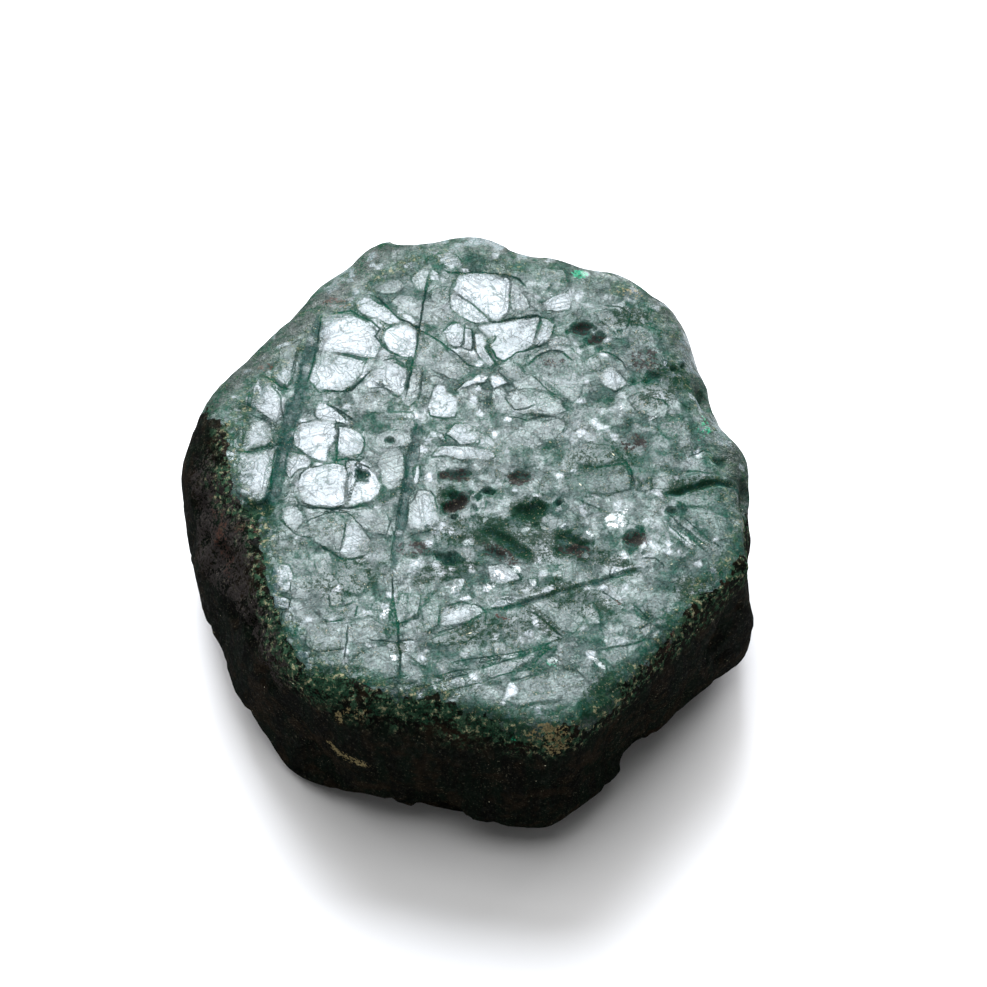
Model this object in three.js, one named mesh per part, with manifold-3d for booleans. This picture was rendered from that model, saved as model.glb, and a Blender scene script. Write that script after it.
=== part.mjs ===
// A rough emerald: one short six-sided beryl crystal, worn round at its edges, with a flat top face broken
// up by long straight grooves, a net of finer cracks, shallow tilted plates and pits.
// Millimetres, +Z up. The stone rests on its flat base at z = 0, and its outline is centred on x = y = 0.
import * as THREE from "three";
import { ConvexGeometry } from "three/addons/geometries/ConvexGeometry.js";
import { mergeVertices } from "three/addons/utils/BufferGeometryUtils.js";
import Module from "manifold-3d";

const wasm = await Module();
wasm.setup();

// Driving dimensions of the crystal
const THICKNESS = 12.5;
const FACE_COUNT = 6;
const FIRST_FACE = 17.6; // direction of the right-hand face, degrees from +X
const FACE_TURN = 360 / FACE_COUNT;

// The six faces anticlockwise from the right: ridge is the distance of the top edge from the axis, girth
// the distance of the upright face, lean the tilt of the worn bevel between them, in degrees.
const FACES = [
  { ridge: 14.1, girth: 15.6, lean: 45 },
  { ridge: 16.6, girth: 18.0, lean: 65 },
  { ridge: 14.8, girth: 17.3, lean: 60 },
  { ridge: 13.5, girth: 15.7, lean: 38 },
  { ridge: 14.4, girth: 16.0, lean: 42 },
  { ridge: 15.0, girth: 15.2, lean: 42 },
];
const FOOT_INSET = 2.4; // how far the worn lower edge goes in under the girth
const FOOT_LEAN = 40;
const WORN_CORNERS = [
  { azimuth: 47.6, distance: 19.2 },
  { azimuth: 107.6, distance: 19.8 },
  { azimuth: 165, distance: 17.6 },
  { azimuth: 227.6, distance: 15.9 },
  { azimuth: 287.6, distance: 17.6 },
  { azimuth: 347.5, distance: 16.1 },
];
const ROUNDING = 40; // a higher power gives crisper edges between neighbouring faces

// The body's rings, from the base up: height, and how far the ring is drawn in to soften an edge
const AROUND = 60;
const RINGS = [
  { z: 0, inset: 0.5 },
  { z: 0.35, inset: 0.12 },
  { z: 1.3, inset: 0 },
  { z: 2.6, inset: 0 },
  { z: 4.6, inset: 0 },
  { z: 6.8, inset: 0 },
  { z: 8.6, inset: 0 },
  { z: 9.8, inset: 0 },
  { z: 10.9, inset: 0 },
  { z: 11.8, inset: 0.02 },
  { z: THICKNESS - 0.2, inset: 0.12 },
  { z: THICKNESS, inset: 0.4 },
];

// Swells and hollows of the worn outline: direction in degrees, size in mm and half width in degrees
const OUTLINE_SWELLS = [
  { azimuth: -17, size: 0.6, spread: 4 },
  { azimuth: -1, size: -0.25, spread: 4 },
  { azimuth: 14, size: 0.72, spread: 6 },
  { azimuth: 28, size: -0.2, spread: 4 },
  { azimuth: 46, size: 0.42, spread: 7 },
  { azimuth: 57, size: -0.45, spread: 4 },
  { azimuth: 68, size: -0.4, spread: 4 },
  { azimuth: 89, size: 0.62, spread: 6 },
  { azimuth: 100, size: -0.45, spread: 4 },
  { azimuth: 108, size: 0.35, spread: 4 },
  { azimuth: 121, size: 0.68, spread: 6 },
  { azimuth: 131, size: 0.15, spread: 4 },
  { azimuth: 158, size: -0.3, spread: 6 },
  { azimuth: 190, size: 0.4, spread: 6 },
];

// Slow waves that keep the sides from being perfectly flat: size in mm, waves around, waves up, phase
const SIDE_WAVES = [
  { size: 0.13, around: 5, up: 0.5, phase: 0.9 },
  { size: 0.09, around: 11, up: -0.7, phase: 2.1 },
  { size: 0.06, around: 17, up: 1.3, phase: 4.0 },
];

// Grooves and cracks of the top face, each a path of points on it
const GROOVE_LIFT = 0.3; // how far a cutter stands above the face
const END_TAPER = 0.3; // share of the width and depth left at the two ends of a crack
const LONG_GROOVES = {
  width: 0.75,
  depth: 0.4,
  paths: [
    [[-9.2, 13], [-9.6, 10], [-10.1, 7.6], [-10.7, 5], [-11.3, 1.2], [-12, -1.8]],
    [[-3.15, 5.6], [-3.5, 3.2], [-3.9, 0.4], [-4.3, -2.4], [-4.7, -5.2], [-4.6, -8]],
    [[10.6, -0.2], [11.8, 0], [13.3, 0.55], [14.6, 0.7], [16, 0.6]],
    [[0.4, -2.6], [1.85, -3.35], [2.65, -4.1], [3.4, -4.6]],
    [[4.8, -3.1], [5.4, -3.3], [6.5, -3.8]],
    [[0.7, -8.2], [2.4, -7.75], [4.2, -7.15], [6.7, -6.3], [8, -5.8], [10.2, -5.2]],
  ],
};
const CRACKS = {
  width: 0.5,
  depth: 0.26,
  paths: [
    // The middle groove above and below its wide stretch
    [[-2.6, 16.4], [-3.1, 13], [-3.5, 10], [-4.15, 6.1], [-3.9, 4.6]],
    [[-4.6, -8], [-4.4, -9], [-4.2, -11], [-4.3, -14]],
    // Around the plates left of the long left groove
    [[-10.4, 10.7], [-10.5, 9.5], [-10.8, 8.2]],
    [[-12.5, 8.4], [-11.9, 7.9], [-10.3, 7.2]],
    [[-13.3, 5.6], [-12, 5], [-11, 4.3]],
    [[-14.2, 2.75], [-12.4, 3.1], [-11.1, 3.4]],
    // Around the large plate right of it
    [[-9.3, 12.8], [-7.3, 12.9], [-6.1, 12.1], [-5.6, 11.5], [-5.5, 10.4], [-4.4, 9.7], [-3.4, 9.3]],
    [[-5.9, 8.7], [-6.8, 7.7], [-8, 7.05], [-9.9, 7.3]],
    [[-7.1, 14.1], [-5.7, 13.7], [-4.4, 12.2], [-2.6, 11], [-0.5, 9], [0.9, 8.6]],
    // Around the plates at the back
    [[-2.6, 16], [-0.9, 15.55], [0.9, 15.6], [2.6, 15.2], [3.2, 14.1]],
    [[-1.2, 15.3], [-1.5, 14.4], [-1.9, 13.1]],
    [[-1, 14.1], [0.2, 12.9], [1, 12]],
    [[0.9, 12.1], [2, 12.25], [3.6, 12.55], [4.6, 11.9]],
    [[0.9, 10.4], [1.5, 9.2], [2.4, 9.8], [3.9, 10.3], [4.4, 11.2]],
    [[3.1, 8.8], [3.85, 9.7], [5.05, 9.9], [5.9, 9.05]],
    [[3.2, 8.4], [4, 7.45], [5.4, 6.1]],
    [[7.35, 13.3], [9.2, 12.7], [8.8, 11.2]],
    [[9, 11.8], [10.6, 11.6], [11.6, 11.2]],
    // The middle of the face
    [[-5.5, 9.2], [-4.8, 9.5], [-3.8, 8.6]],
    [[-6, 7.9], [-4.8, 6.8], [-4.2, 6.5]],
    [[-2.4, 8.5], [-1.5, 7.9], [-1, 7.2], [0.15, 7.6], [1.5, 7.5]],
    [[1.8, 7], [2.25, 5.75], [3.7, 6.2]],
    [[1.6, 5.3], [3.05, 5.05], [4.6, 5.35], [5.4, 5.2]],
    [[-8.8, 6.3], [-8, 5.75], [-6.8, 4.9]],
    [[-8, 5], [-8.05, 3], [-7.4, 2.3], [-6.2, 2.4]],
    [[-10.6, 3.1], [-9.5, 2.4], [-8.4, 2]],
    [[-7.4, 1.2], [-7.5, -0.8]],
    [[-10.3, -0.9], [-9, -1.15], [-7, -1.05], [-5.6, -0.9]],
    [[-11.4, -1.7], [-10.4, -2.8], [-9.2, -3.2]],
    [[-9.9, -2.4], [-8.1, -1.3], [-7, -1.7], [-6, -2.9]],
    [[-9.2, -3.4], [-7.7, -4.5], [-5.9, -4.1]],
    [[-4.1, -3.3], [-3, -2.8], [-1.9, -2.8]],
    // The right of the face
    [[7.1, 9.9], [8.3, 9.5], [9.1, 8.2]],
    [[8.8, 7.4], [10.15, 7.9], [10.8, 8.4]],
    [[10.2, 6.7], [11, 6.5], [11.5, 5.9]],
    [[6, 1.9], [7, 1.75], [8.8, 2.05], [9.2, 0.2]],
    [[12, 2.5], [13.8, 2.8]],
    [[6, -0.5], [7.4, -1.4]],
    [[10.9, -1.2], [12, -2.4], [13.7, -4.1]],
    [[10.7, -1.9], [12.6, -3.8]],
    [[9.6, -4.6], [10.8, -4.9], [11, -5.6]],
    // The scratches that run up to the right near the front edge, and the cracks beside them
    [[-2, -7.9], [-0.6, -7.55], [0.7, -8.3]],
    [[-2.8, -9.75], [-1.4, -9.35], [0.6, -8.4]],
    [[-0.1, -12.2], [1.3, -11.65], [2.9, -11.1], [4.5, -10.5]],
    [[0.5, -12.45], [2.2, -12.25], [3.9, -11.8]],
    [[-2.7, -12.95], [-1.2, -12.6], [-0.2, -12.3]],
    [[-1.9, -13.65], [-0.5, -13.2], [0.9, -12.8]],
    [[3.1, -8.1], [4.3, -9.1], [5.1, -10]],
    [[6.8, -10.9], [8.4, -10.5], [10, -10]],
    [[-9.3, -8.1], [-8.4, -8.85], [-7.15, -8.7], [-7.3, -10.5], [-7.45, -11.8]],
    [[-8.6, -7.9], [-6.7, -7.5]],
    [[-5.8, -13.2], [-4.2, -13], [-3.1, -12.9]],
  ],
};

// Shallow plates of the top face: an outline, the floor's depth near its first point and the depth at the
// point far from it, so that each plate tilts a little its own way
const PLATES = [
  { outline: [[-9.3, 12.6], [-6, 12.2], [-5.4, 10.2], [-5.9, 8.7], [-9.6, 7.4]], near: 0.02, far: 0.2 },
  { outline: [[-11.3, 3.2], [-14.6, 2.6], [-14.2, 0.6], [-13, -1.6], [-12, -1.6]], near: 0.05, far: 0.28 },
  { outline: [[-11.2, 4.9], [-13.4, 5.6], [-12.6, 8], [-10.9, 7.4]], near: 0.04, far: 0.2 },
  { outline: [[-1.2, 15.1], [2.7, 15], [3.9, 12.5], [1, 12.3], [-0.8, 13.8]], near: 0.14, far: 0.03 },
  { outline: [[1, 10.2], [3.3, 10.1], [3.6, 12.2], [0.9, 11.9]], near: 0.22, far: 0.05 },
  { outline: [[-10.6, 2], [-7.6, 1.2], [-7.6, -0.8], [-10.6, -0.8]], near: 0.03, far: 0.18 },
  { outline: [[-9.2, -3.3], [-9.6, -2], [-8, -1.5], [-6.6, -2.2], [-6, -4], [-7.7, -4.4]], near: 0.2, far: 0.04 },
  { outline: [[5.6, 8.8], [7.8, 7.2], [9, 4.6], [6, 5.6]], near: 0.06, far: 0.25 },
  { outline: [[-3, -0.2], [-1.8, -0.4], [-1.4, -3], [-3.8, -2.9]], near: 0.05, far: 0.22 },
  { outline: [[0.6, -4.6], [3.4, -4.8], [6.4, -6.1], [1, -7.7]], near: 0.24, far: 0.06 },
  { outline: [[7.4, -2], [9.6, -2.4], [9.4, -4.6], [6.8, -4]], near: 0.1, far: 0.3 },
  { outline: [[-11.2, -3.4], [-9.4, -3.6], [-9.4, -7.6], [-11.2, -7.8]], near: 0.12, far: 0.3 },
  { outline: [[0.6, 5], [-1.6, 5.2], [-2.8, 2.2], [-0.6, 1.4]], near: 0.2, far: 0.04 },
  { outline: [[5.6, -11.4], [10, -9.8], [9, -8.2], [5.4, -9.9]], near: 0.2, far: 0.05 },
  { outline: [[9.4, 7], [11.4, 6.2], [12.6, 3.4], [10, 3]], near: 0.04, far: 0.24 },
  { outline: [[2.2, 5], [5.2, 5], [5.6, 2.6], [2.4, 3]], near: 0.05, far: 0.2 },
  { outline: [[-6.4, 4.8], [-4.2, 5.4], [-4.4, 1], [-6, 0.6]], near: 0.18, far: 0.04 },
  { outline: [[6.8, 13.4], [9.2, 13], [10.8, 10.4], [7.6, 11.8]], near: 0.05, far: 0.26 },
  { outline: [[-4, -9.4], [-0.6, -9.6], [0, -11.8], [-3.8, -12.6]], near: 0.05, far: 0.18 },
  { outline: [[10.6, 2.4], [13.4, 2.2], [13.4, 0.8], [10, 0.4]], near: 0.04, far: 0.22 },
];

// Pits of the top face: place, half length along x and y, depth, and turn in degrees
const PITS = [
  { x: -1.0, y: -0.8, long: 0.95, wide: 0.5, depth: 0.55, turn: 40 },
  { x: 3.2, y: -1.3, long: 0.85, wide: 0.7, depth: 0.45, turn: 0 },
  { x: -1.4, y: -4.7, long: 0.6, wide: 0.4, depth: 0.35, turn: -20 },
  { x: 6.3, y: 11.6, long: 0.55, wide: 0.4, depth: 0.35, turn: 15 },
  { x: 7.2, y: 10.8, long: 0.5, wide: 0.4, depth: 0.3, turn: 0 },
  { x: -6.5, y: 1.2, long: 0.45, wide: 0.35, depth: 0.3, turn: 30 },
  { x: 10.5, y: 8.2, long: 0.45, wide: 0.35, depth: 0.3, turn: 0 },
  { x: 11.4, y: -1.3, long: 0.4, wide: 0.3, depth: 0.3, turn: 0 },
  { x: 9.2, y: -3.2, long: 0.7, wide: 0.45, depth: 0.35, turn: 60 },
  { x: -12.8, y: -1.2, long: 0.8, wide: 0.6, depth: 0.4, turn: 0 },
];

// Chips and pits of the bevels, sides and lower edge: direction in degrees, height, half width and depth
const SIDE_CHIPS = [
  { azimuth: 178, z: 10.3, radius: 0.8, depth: 0.45 },
  { azimuth: 186, z: 9.7, radius: 0.6, depth: 0.4 },
  { azimuth: 193, z: 10.6, radius: 0.9, depth: 0.5 },
  { azimuth: 204, z: 9.3, radius: 1.1, depth: 0.5 },
  { azimuth: 214, z: 10.7, radius: 0.8, depth: 0.4 },
  { azimuth: 221, z: 8.8, radius: 1.0, depth: 0.4 },
  { azimuth: 28, z: 11.6, radius: 1.0, depth: 0.6 },
  { azimuth: 2, z: 11.4, radius: 0.9, depth: 0.55 },
  { azimuth: 81, z: 11.6, radius: 1.1, depth: 0.5 },
  { azimuth: 103, z: 11.8, radius: 1.0, depth: 0.5 },
  { azimuth: 122, z: 8.9, radius: 1.4, depth: 0.5 },
  { azimuth: 147, z: 5.2, radius: 1.8, depth: 0.45 },
  { azimuth: 236, z: 3.6, radius: 1.7, depth: 0.5 },
  { azimuth: 262, z: 2.2, radius: 1.9, depth: 0.55 },
  { azimuth: 284, z: 6.3, radius: 1.3, depth: 0.4 },
  { azimuth: 309, z: 3.1, radius: 2.1, depth: 0.6 },
  { azimuth: 333, z: 7.4, radius: 1.5, depth: 0.45 },
  { azimuth: 12, z: 4.1, radius: 2.0, depth: 0.55 },
  { azimuth: 46, z: 7.6, radius: 1.6, depth: 0.5 },
  { azimuth: 68, z: 2.4, radius: 1.9, depth: 0.6 },
  { azimuth: 94, z: 5.5, radius: 1.5, depth: 0.45 },
  { azimuth: 131, z: 2.3, radius: 1.8, depth: 0.5 },
  { azimuth: 170, z: 2.6, radius: 1.7, depth: 0.55 },
  { azimuth: 198, z: 5.4, radius: 1.6, depth: 0.4 },
];

// Upright growth grooves of the six sides: places as shares of the half width of a face
const STRIA_PLACES = [-0.62, -0.2, 0.18, 0.55];
const STRIA_WIDTH = 0.7;
const STRIA_DEPTH = 0.22;
const STRIA_LOW = 1.6;
const STRIA_HIGH = 9.2;
const STRIA_STAGGER = 1.1; // each groove starts and ends a little higher or lower than its neighbour

const rad = THREE.MathUtils.degToRad;

// The planes that bound the sides: upright faces, bevels above, worn foot below, and worn corners.
function sidePlanes() {
  const planes = [];
  FACES.forEach(({ ridge, girth, lean }, i) => {
    const azimuth = rad(FIRST_FACE + i * FACE_TURN);
    const bevel = rad(lean);
    const foot = rad(FOOT_LEAN);
    planes.push({ azimuth, out: 1, up: 0, reach: girth });
    planes.push({
      azimuth,
      out: Math.cos(bevel),
      up: Math.sin(bevel),
      reach: ridge * Math.cos(bevel) + THICKNESS * Math.sin(bevel),
    });
    planes.push({
      azimuth,
      out: Math.cos(foot),
      up: -Math.sin(foot),
      reach: (girth - FOOT_INSET) * Math.cos(foot),
    });
  });
  for (const { azimuth, distance } of WORN_CORNERS)
    planes.push({ azimuth: rad(azimuth), out: 1, up: 0, reach: distance });
  return planes;
}
const PLANES = sidePlanes();

// How far the side of the stone stands from the axis, in a direction and at a height.
function sideRadius(angle, z) {
  let sum = 0;
  for (const { azimuth, out, up, reach } of PLANES) {
    const closeness = (out * Math.cos(angle - azimuth)) / (reach - up * z);
    if (closeness > 0) sum += closeness ** ROUNDING;
  }
  let radius = sum ** (-1 / ROUNDING);
  for (const { azimuth, size, spread } of OUTLINE_SWELLS) {
    const turn = THREE.MathUtils.euclideanModulo(angle - rad(azimuth) + Math.PI, 2 * Math.PI) - Math.PI;
    radius += size * Math.exp(-((turn / rad(spread)) ** 2));
  }
  for (const { size, around, up, phase } of SIDE_WAVES)
    radius += size * Math.sin(around * angle + up * z + phase);
  return radius;
}

function sidePoint(angle, z, inset = 0) {
  const r = sideRadius(angle, z) - inset;
  return new THREE.Vector3(r * Math.cos(angle), r * Math.sin(angle), z);
}

// A closed three.js geometry as a solid that can be joined and cut.
function solid(geometry) {
  const bare = new THREE.BufferGeometry().setAttribute("position", geometry.getAttribute("position").clone());
  bare.setIndex(geometry.index);
  const merged = mergeVertices(bare, 1e-4);
  const triVerts = new Uint32Array(merged.index.array);
  const vertProperties = new Float32Array(merged.getAttribute("position").array);
  return new wasm.Manifold(new wasm.Mesh({ numProp: 3, vertProperties, triVerts }));
}

// The uncut stone: rings turned about the axis, each vertex then moved out to the side of the crystal.
function body() {
  const last = RINGS.length - 1;
  const profile = [
    new THREE.Vector2(0, RINGS[0].z),
    ...RINGS.map(({ z }) => new THREE.Vector2(1, z)),
    new THREE.Vector2(0, RINGS[last].z),
  ];
  const lathe = new THREE.LatheGeometry(profile, AROUND).rotateX(Math.PI / 2);
  const position = lathe.getAttribute("position");
  const insets = [0, ...RINGS.map(({ inset }) => inset), 0];
  for (let i = 0; i < position.count; i++) {
    const ring = i % profile.length;
    if (ring === 0 || ring > RINGS.length) continue;
    const angle = Math.atan2(position.getY(i), position.getX(i));
    const { x, y, z } = sidePoint(angle, position.getZ(i), insets[ring]);
    position.setXYZ(i, x, y, z);
  }
  return solid(lathe);
}

// A V-shaped cutter that follows a path over a surface. Each stop has a point on the surface and the
// direction that faces out of it. A three-sided prism is bent along the path, its sharp edge downwards.
function grooveCutter(stops, width, depth) {
  const steps = stops.length - 1;
  const prism = new THREE.CylinderGeometry(1, 1, steps, 3, steps, false, Math.PI);
  const position = prism.getAttribute("position");
  const spread = (width / 2) * ((depth + GROOVE_LIFT) / depth);
  for (let i = 0; i < position.count; i++) {
    const along = Math.round(position.getY(i) + steps / 2);
    const before = stops[Math.max(along - 1, 0)].point;
    const after = stops[Math.min(along + 1, steps)].point;
    const { point, out } = stops[along];
    const side = new THREE.Vector3().subVectors(after, before).cross(out).normalize();
    const taper = along === 0 || along === steps ? END_TAPER : 1;
    const across = position.getX(i);
    const isCap = Math.abs(across) < 1e-6 && Math.abs(position.getZ(i)) < 1e-6;
    const isKeel = !isCap && position.getZ(i) < 0;
    const place = point.clone();
    if (isKeel) place.addScaledVector(out, -depth * taper);
    else place.addScaledVector(out, isCap ? 0 : GROOVE_LIFT);
    if (!isKeel && !isCap) place.addScaledVector(side, Math.sign(across) * spread * taper);
    position.setXYZ(i, place.x, place.y, place.z);
  }
  return solid(prism);
}

function topCracks({ width, depth, paths }) {
  const out = new THREE.Vector3(0, 0, 1);
  return paths.map((path) =>
    grooveCutter(
      path.map(([x, y]) => ({ point: new THREE.Vector3(x, y, THICKNESS), out })),
      width,
      depth,
    ),
  );
}

function striae() {
  const cutters = [];
  FACES.forEach((face, i) => {
    STRIA_PLACES.forEach((place, k) => {
      const angle = rad(FIRST_FACE + (i + place / 2) * FACE_TURN);
      const out = new THREE.Vector3(Math.cos(angle), Math.sin(angle), 0);
      const shift = STRIA_STAGGER * Math.sin(3 * i + 2 * k);
      const heights = [STRIA_LOW, (STRIA_LOW + STRIA_HIGH) / 2, STRIA_HIGH].map((z) => z + shift);
      const stops = heights.map((z) => ({ point: sidePoint(angle, z), out }));
      cutters.push(grooveCutter(stops, STRIA_WIDTH, STRIA_DEPTH));
    });
  });
  return cutters;
}

// A plate's cutter: its outline above the face, over a floor that tilts from near to far.
function plateCutter({ outline, near, far }) {
  const [x0, y0] = outline[0];
  const reach = Math.max(...outline.map(([x, y]) => Math.hypot(x - x0, y - y0)));
  const points = outline.flatMap(([x, y]) => {
    const depth = near + ((far - near) * Math.hypot(x - x0, y - y0)) / reach;
    return [new THREE.Vector3(x, y, THICKNESS + GROOVE_LIFT), new THREE.Vector3(x, y, THICKNESS - depth)];
  });
  return solid(new ConvexGeometry(points));
}

function pitCutter({ x, y, long, wide, depth, turn }) {
  const ball = new THREE.SphereGeometry(1, 9, 6).rotateX(Math.PI / 2).scale(long, wide, depth);
  return solid(ball.rotateZ(rad(turn)).translate(x, y, THICKNESS));
}

function chipCutter({ azimuth, z, radius, depth }) {
  const angle = rad(azimuth);
  const { x, y } = sidePoint(angle, z);
  const ball = new THREE.SphereGeometry(1, 8, 6).scale(depth, radius, radius);
  return solid(ball.rotateZ(angle).translate(x, y, z));
}

function emerald() {
  const cutters = [
    ...topCracks(LONG_GROOVES),
    ...topCracks(CRACKS),
    ...striae(),
    ...PLATES.map(plateCutter),
    ...PITS.map(pitCutter),
    ...SIDE_CHIPS.map(chipCutter),
  ];
  const stone = cutters.reduce((left, cutter) => left.subtract(cutter), body()).getMesh();
  const geometry = new THREE.BufferGeometry();
  geometry.setAttribute("position", new THREE.BufferAttribute(stone.vertProperties, 3));
  geometry.setIndex(new THREE.BufferAttribute(stone.triVerts, 1));
  geometry.computeBoundingBox();
  const centre = geometry.boundingBox.getCenter(new THREE.Vector3());
  return geometry.translate(-centre.x, -centre.y, 0);
}

const stoneMaterial = new THREE.MeshStandardMaterial({ color: 0x24463c, roughness: 0.45, metalness: 0 });
const mesh = new THREE.Mesh(emerald(), stoneMaterial);
mesh.name = "emerald";

const group = new THREE.Group();
group.add(mesh);

export default group;
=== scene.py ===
"""The looks of a rough emerald: a short six-sided crystal with a grooved, plated and pitted top face.

Sizes are in millimetres in the stone's own drawing frame, whose origin is the middle of the top face, with
X to the right and Y away from the camera. The mesh is brought to the frame's metres when it is finished.
"""

import enum
import logging
import math
from dataclasses import dataclass, field

import bmesh
import bpy
import numpy as np
from mathutils import Matrix, Vector


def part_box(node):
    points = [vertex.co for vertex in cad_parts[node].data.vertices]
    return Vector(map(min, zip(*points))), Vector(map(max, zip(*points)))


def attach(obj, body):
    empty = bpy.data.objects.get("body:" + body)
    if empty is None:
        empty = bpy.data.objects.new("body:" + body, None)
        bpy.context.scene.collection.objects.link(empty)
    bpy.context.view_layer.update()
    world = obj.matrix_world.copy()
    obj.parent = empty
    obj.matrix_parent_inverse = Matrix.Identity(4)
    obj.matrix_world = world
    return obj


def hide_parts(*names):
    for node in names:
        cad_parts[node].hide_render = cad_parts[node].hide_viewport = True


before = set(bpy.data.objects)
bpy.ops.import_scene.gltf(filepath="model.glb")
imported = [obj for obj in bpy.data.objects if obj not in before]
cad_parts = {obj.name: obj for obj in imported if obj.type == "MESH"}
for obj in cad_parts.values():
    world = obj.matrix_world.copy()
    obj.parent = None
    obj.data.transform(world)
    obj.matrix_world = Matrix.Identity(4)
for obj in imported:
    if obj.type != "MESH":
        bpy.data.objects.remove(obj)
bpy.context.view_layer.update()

log = logging.getLogger("emerald")

MM = 0.001
THICKNESS = 12.5
OUTLINE_CENTRE = (-0.581, 1.080)  # middle of the outline's box, seen from the middle of the top face
PATH_REACH = 1.0  # how far beside a path its points are looked for
FAR = 9.0  # farther than anything looked for
Span = tuple[float, float]
Path = tuple[tuple[float, float], ...]
Lumps = tuple[tuple[float, float], ...]  # heights of lumps of noise, each with a lump's width
Colour = tuple[float, float, float]
Socket = bpy.types.NodeSocket
Value = Socket | float | Colour


def smooth_step(low: float, high: float, values: np.ndarray) -> np.ndarray:
    """A smooth 0 to 1 ramp between two values.

    Args:
        low: where the ramp is 0.
        high: where the ramp is 1; it may be the smaller one.
        values: the numbers to ramp.

    Returns:
        The ramped numbers.
    """
    t = np.clip((values - low) / (high - low), 0.0, 1.0)
    return t * t * (3.0 - 2.0 * t)


def from_least(least: float, share: np.ndarray | float) -> np.ndarray | float:
    """A share from 0 to 1 brought into the range from a least value to 1."""
    return least + (1.0 - least) * share


def turn_from(angles: np.ndarray, azimuth: float) -> np.ndarray:
    """How far angles are turned from a direction, from -180 to 180 degrees."""
    return (angles - azimuth + 180) % 360 - 180


class Grain:
    """Smooth seeded noise in the range -1 to 1, the same on every run."""

    CELLS = 32

    def __init__(self, seed: int) -> None:
        """Fills the lattice of random values for one seed."""
        cells = self.CELLS
        self.lattice = np.random.default_rng(seed).uniform(-1.0, 1.0, (cells, cells, cells))

    def at(self, points: np.ndarray, size: float) -> np.ndarray:
        """Noise at points.

        Args:
            points: an array of positions, three numbers each.
            size: width of one lump, in the units of the points.

        Returns:
            One value for each point.
        """
        cell = np.floor(points / size).astype(int)
        part = points / size - cell
        part = part * part * (3.0 - 2.0 * part)
        total = np.zeros(len(points))
        for corner in np.ndindex(2, 2, 2):
            weight = np.prod(np.where(corner, part, 1.0 - part), axis=1)
            i, j, k = ((cell + corner) % self.CELLS).T
            total += weight * self.lattice[i, j, k]
        return total

    def over(self, points: np.ndarray, lumps: Lumps, start: np.ndarray | float = 0.0) -> np.ndarray:
        """Noise of several lump sizes at points, added to what they start with."""
        for height, width in lumps:
            start = start + height * self.at(points, width)
        return start


@dataclass(frozen=True)
class Drift:
    """A number that drifts about its middle over the face, as noise of one lump width.

    The shift gives each drift its own pattern.
    """

    middle: float
    swing: float
    lump: float
    shift: float = 0.0
    limits: Span = (-math.inf, math.inf)

    def at(self, grain: Grain, points: np.ndarray) -> np.ndarray:
        """The number at each point."""
        return np.clip(self.middle + self.swing * grain.at(points + self.shift, self.lump), *self.limits)


@dataclass(frozen=True)
class CrystalFace:
    """One of the six sides: distances from the axis at the top edge and the girth, and the bevel's tilt."""

    ridge: float
    girth: float
    lean: float


@dataclass(frozen=True)
class SideWave:
    """A slow wave around and up the sides."""

    size: float
    around: int
    up: float
    phase: float


@dataclass(frozen=True)
class OutlineSwell:
    """A swell or hollow of the worn outline: direction and half width in degrees, and size."""

    azimuth: float
    size: float
    spread: float


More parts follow.
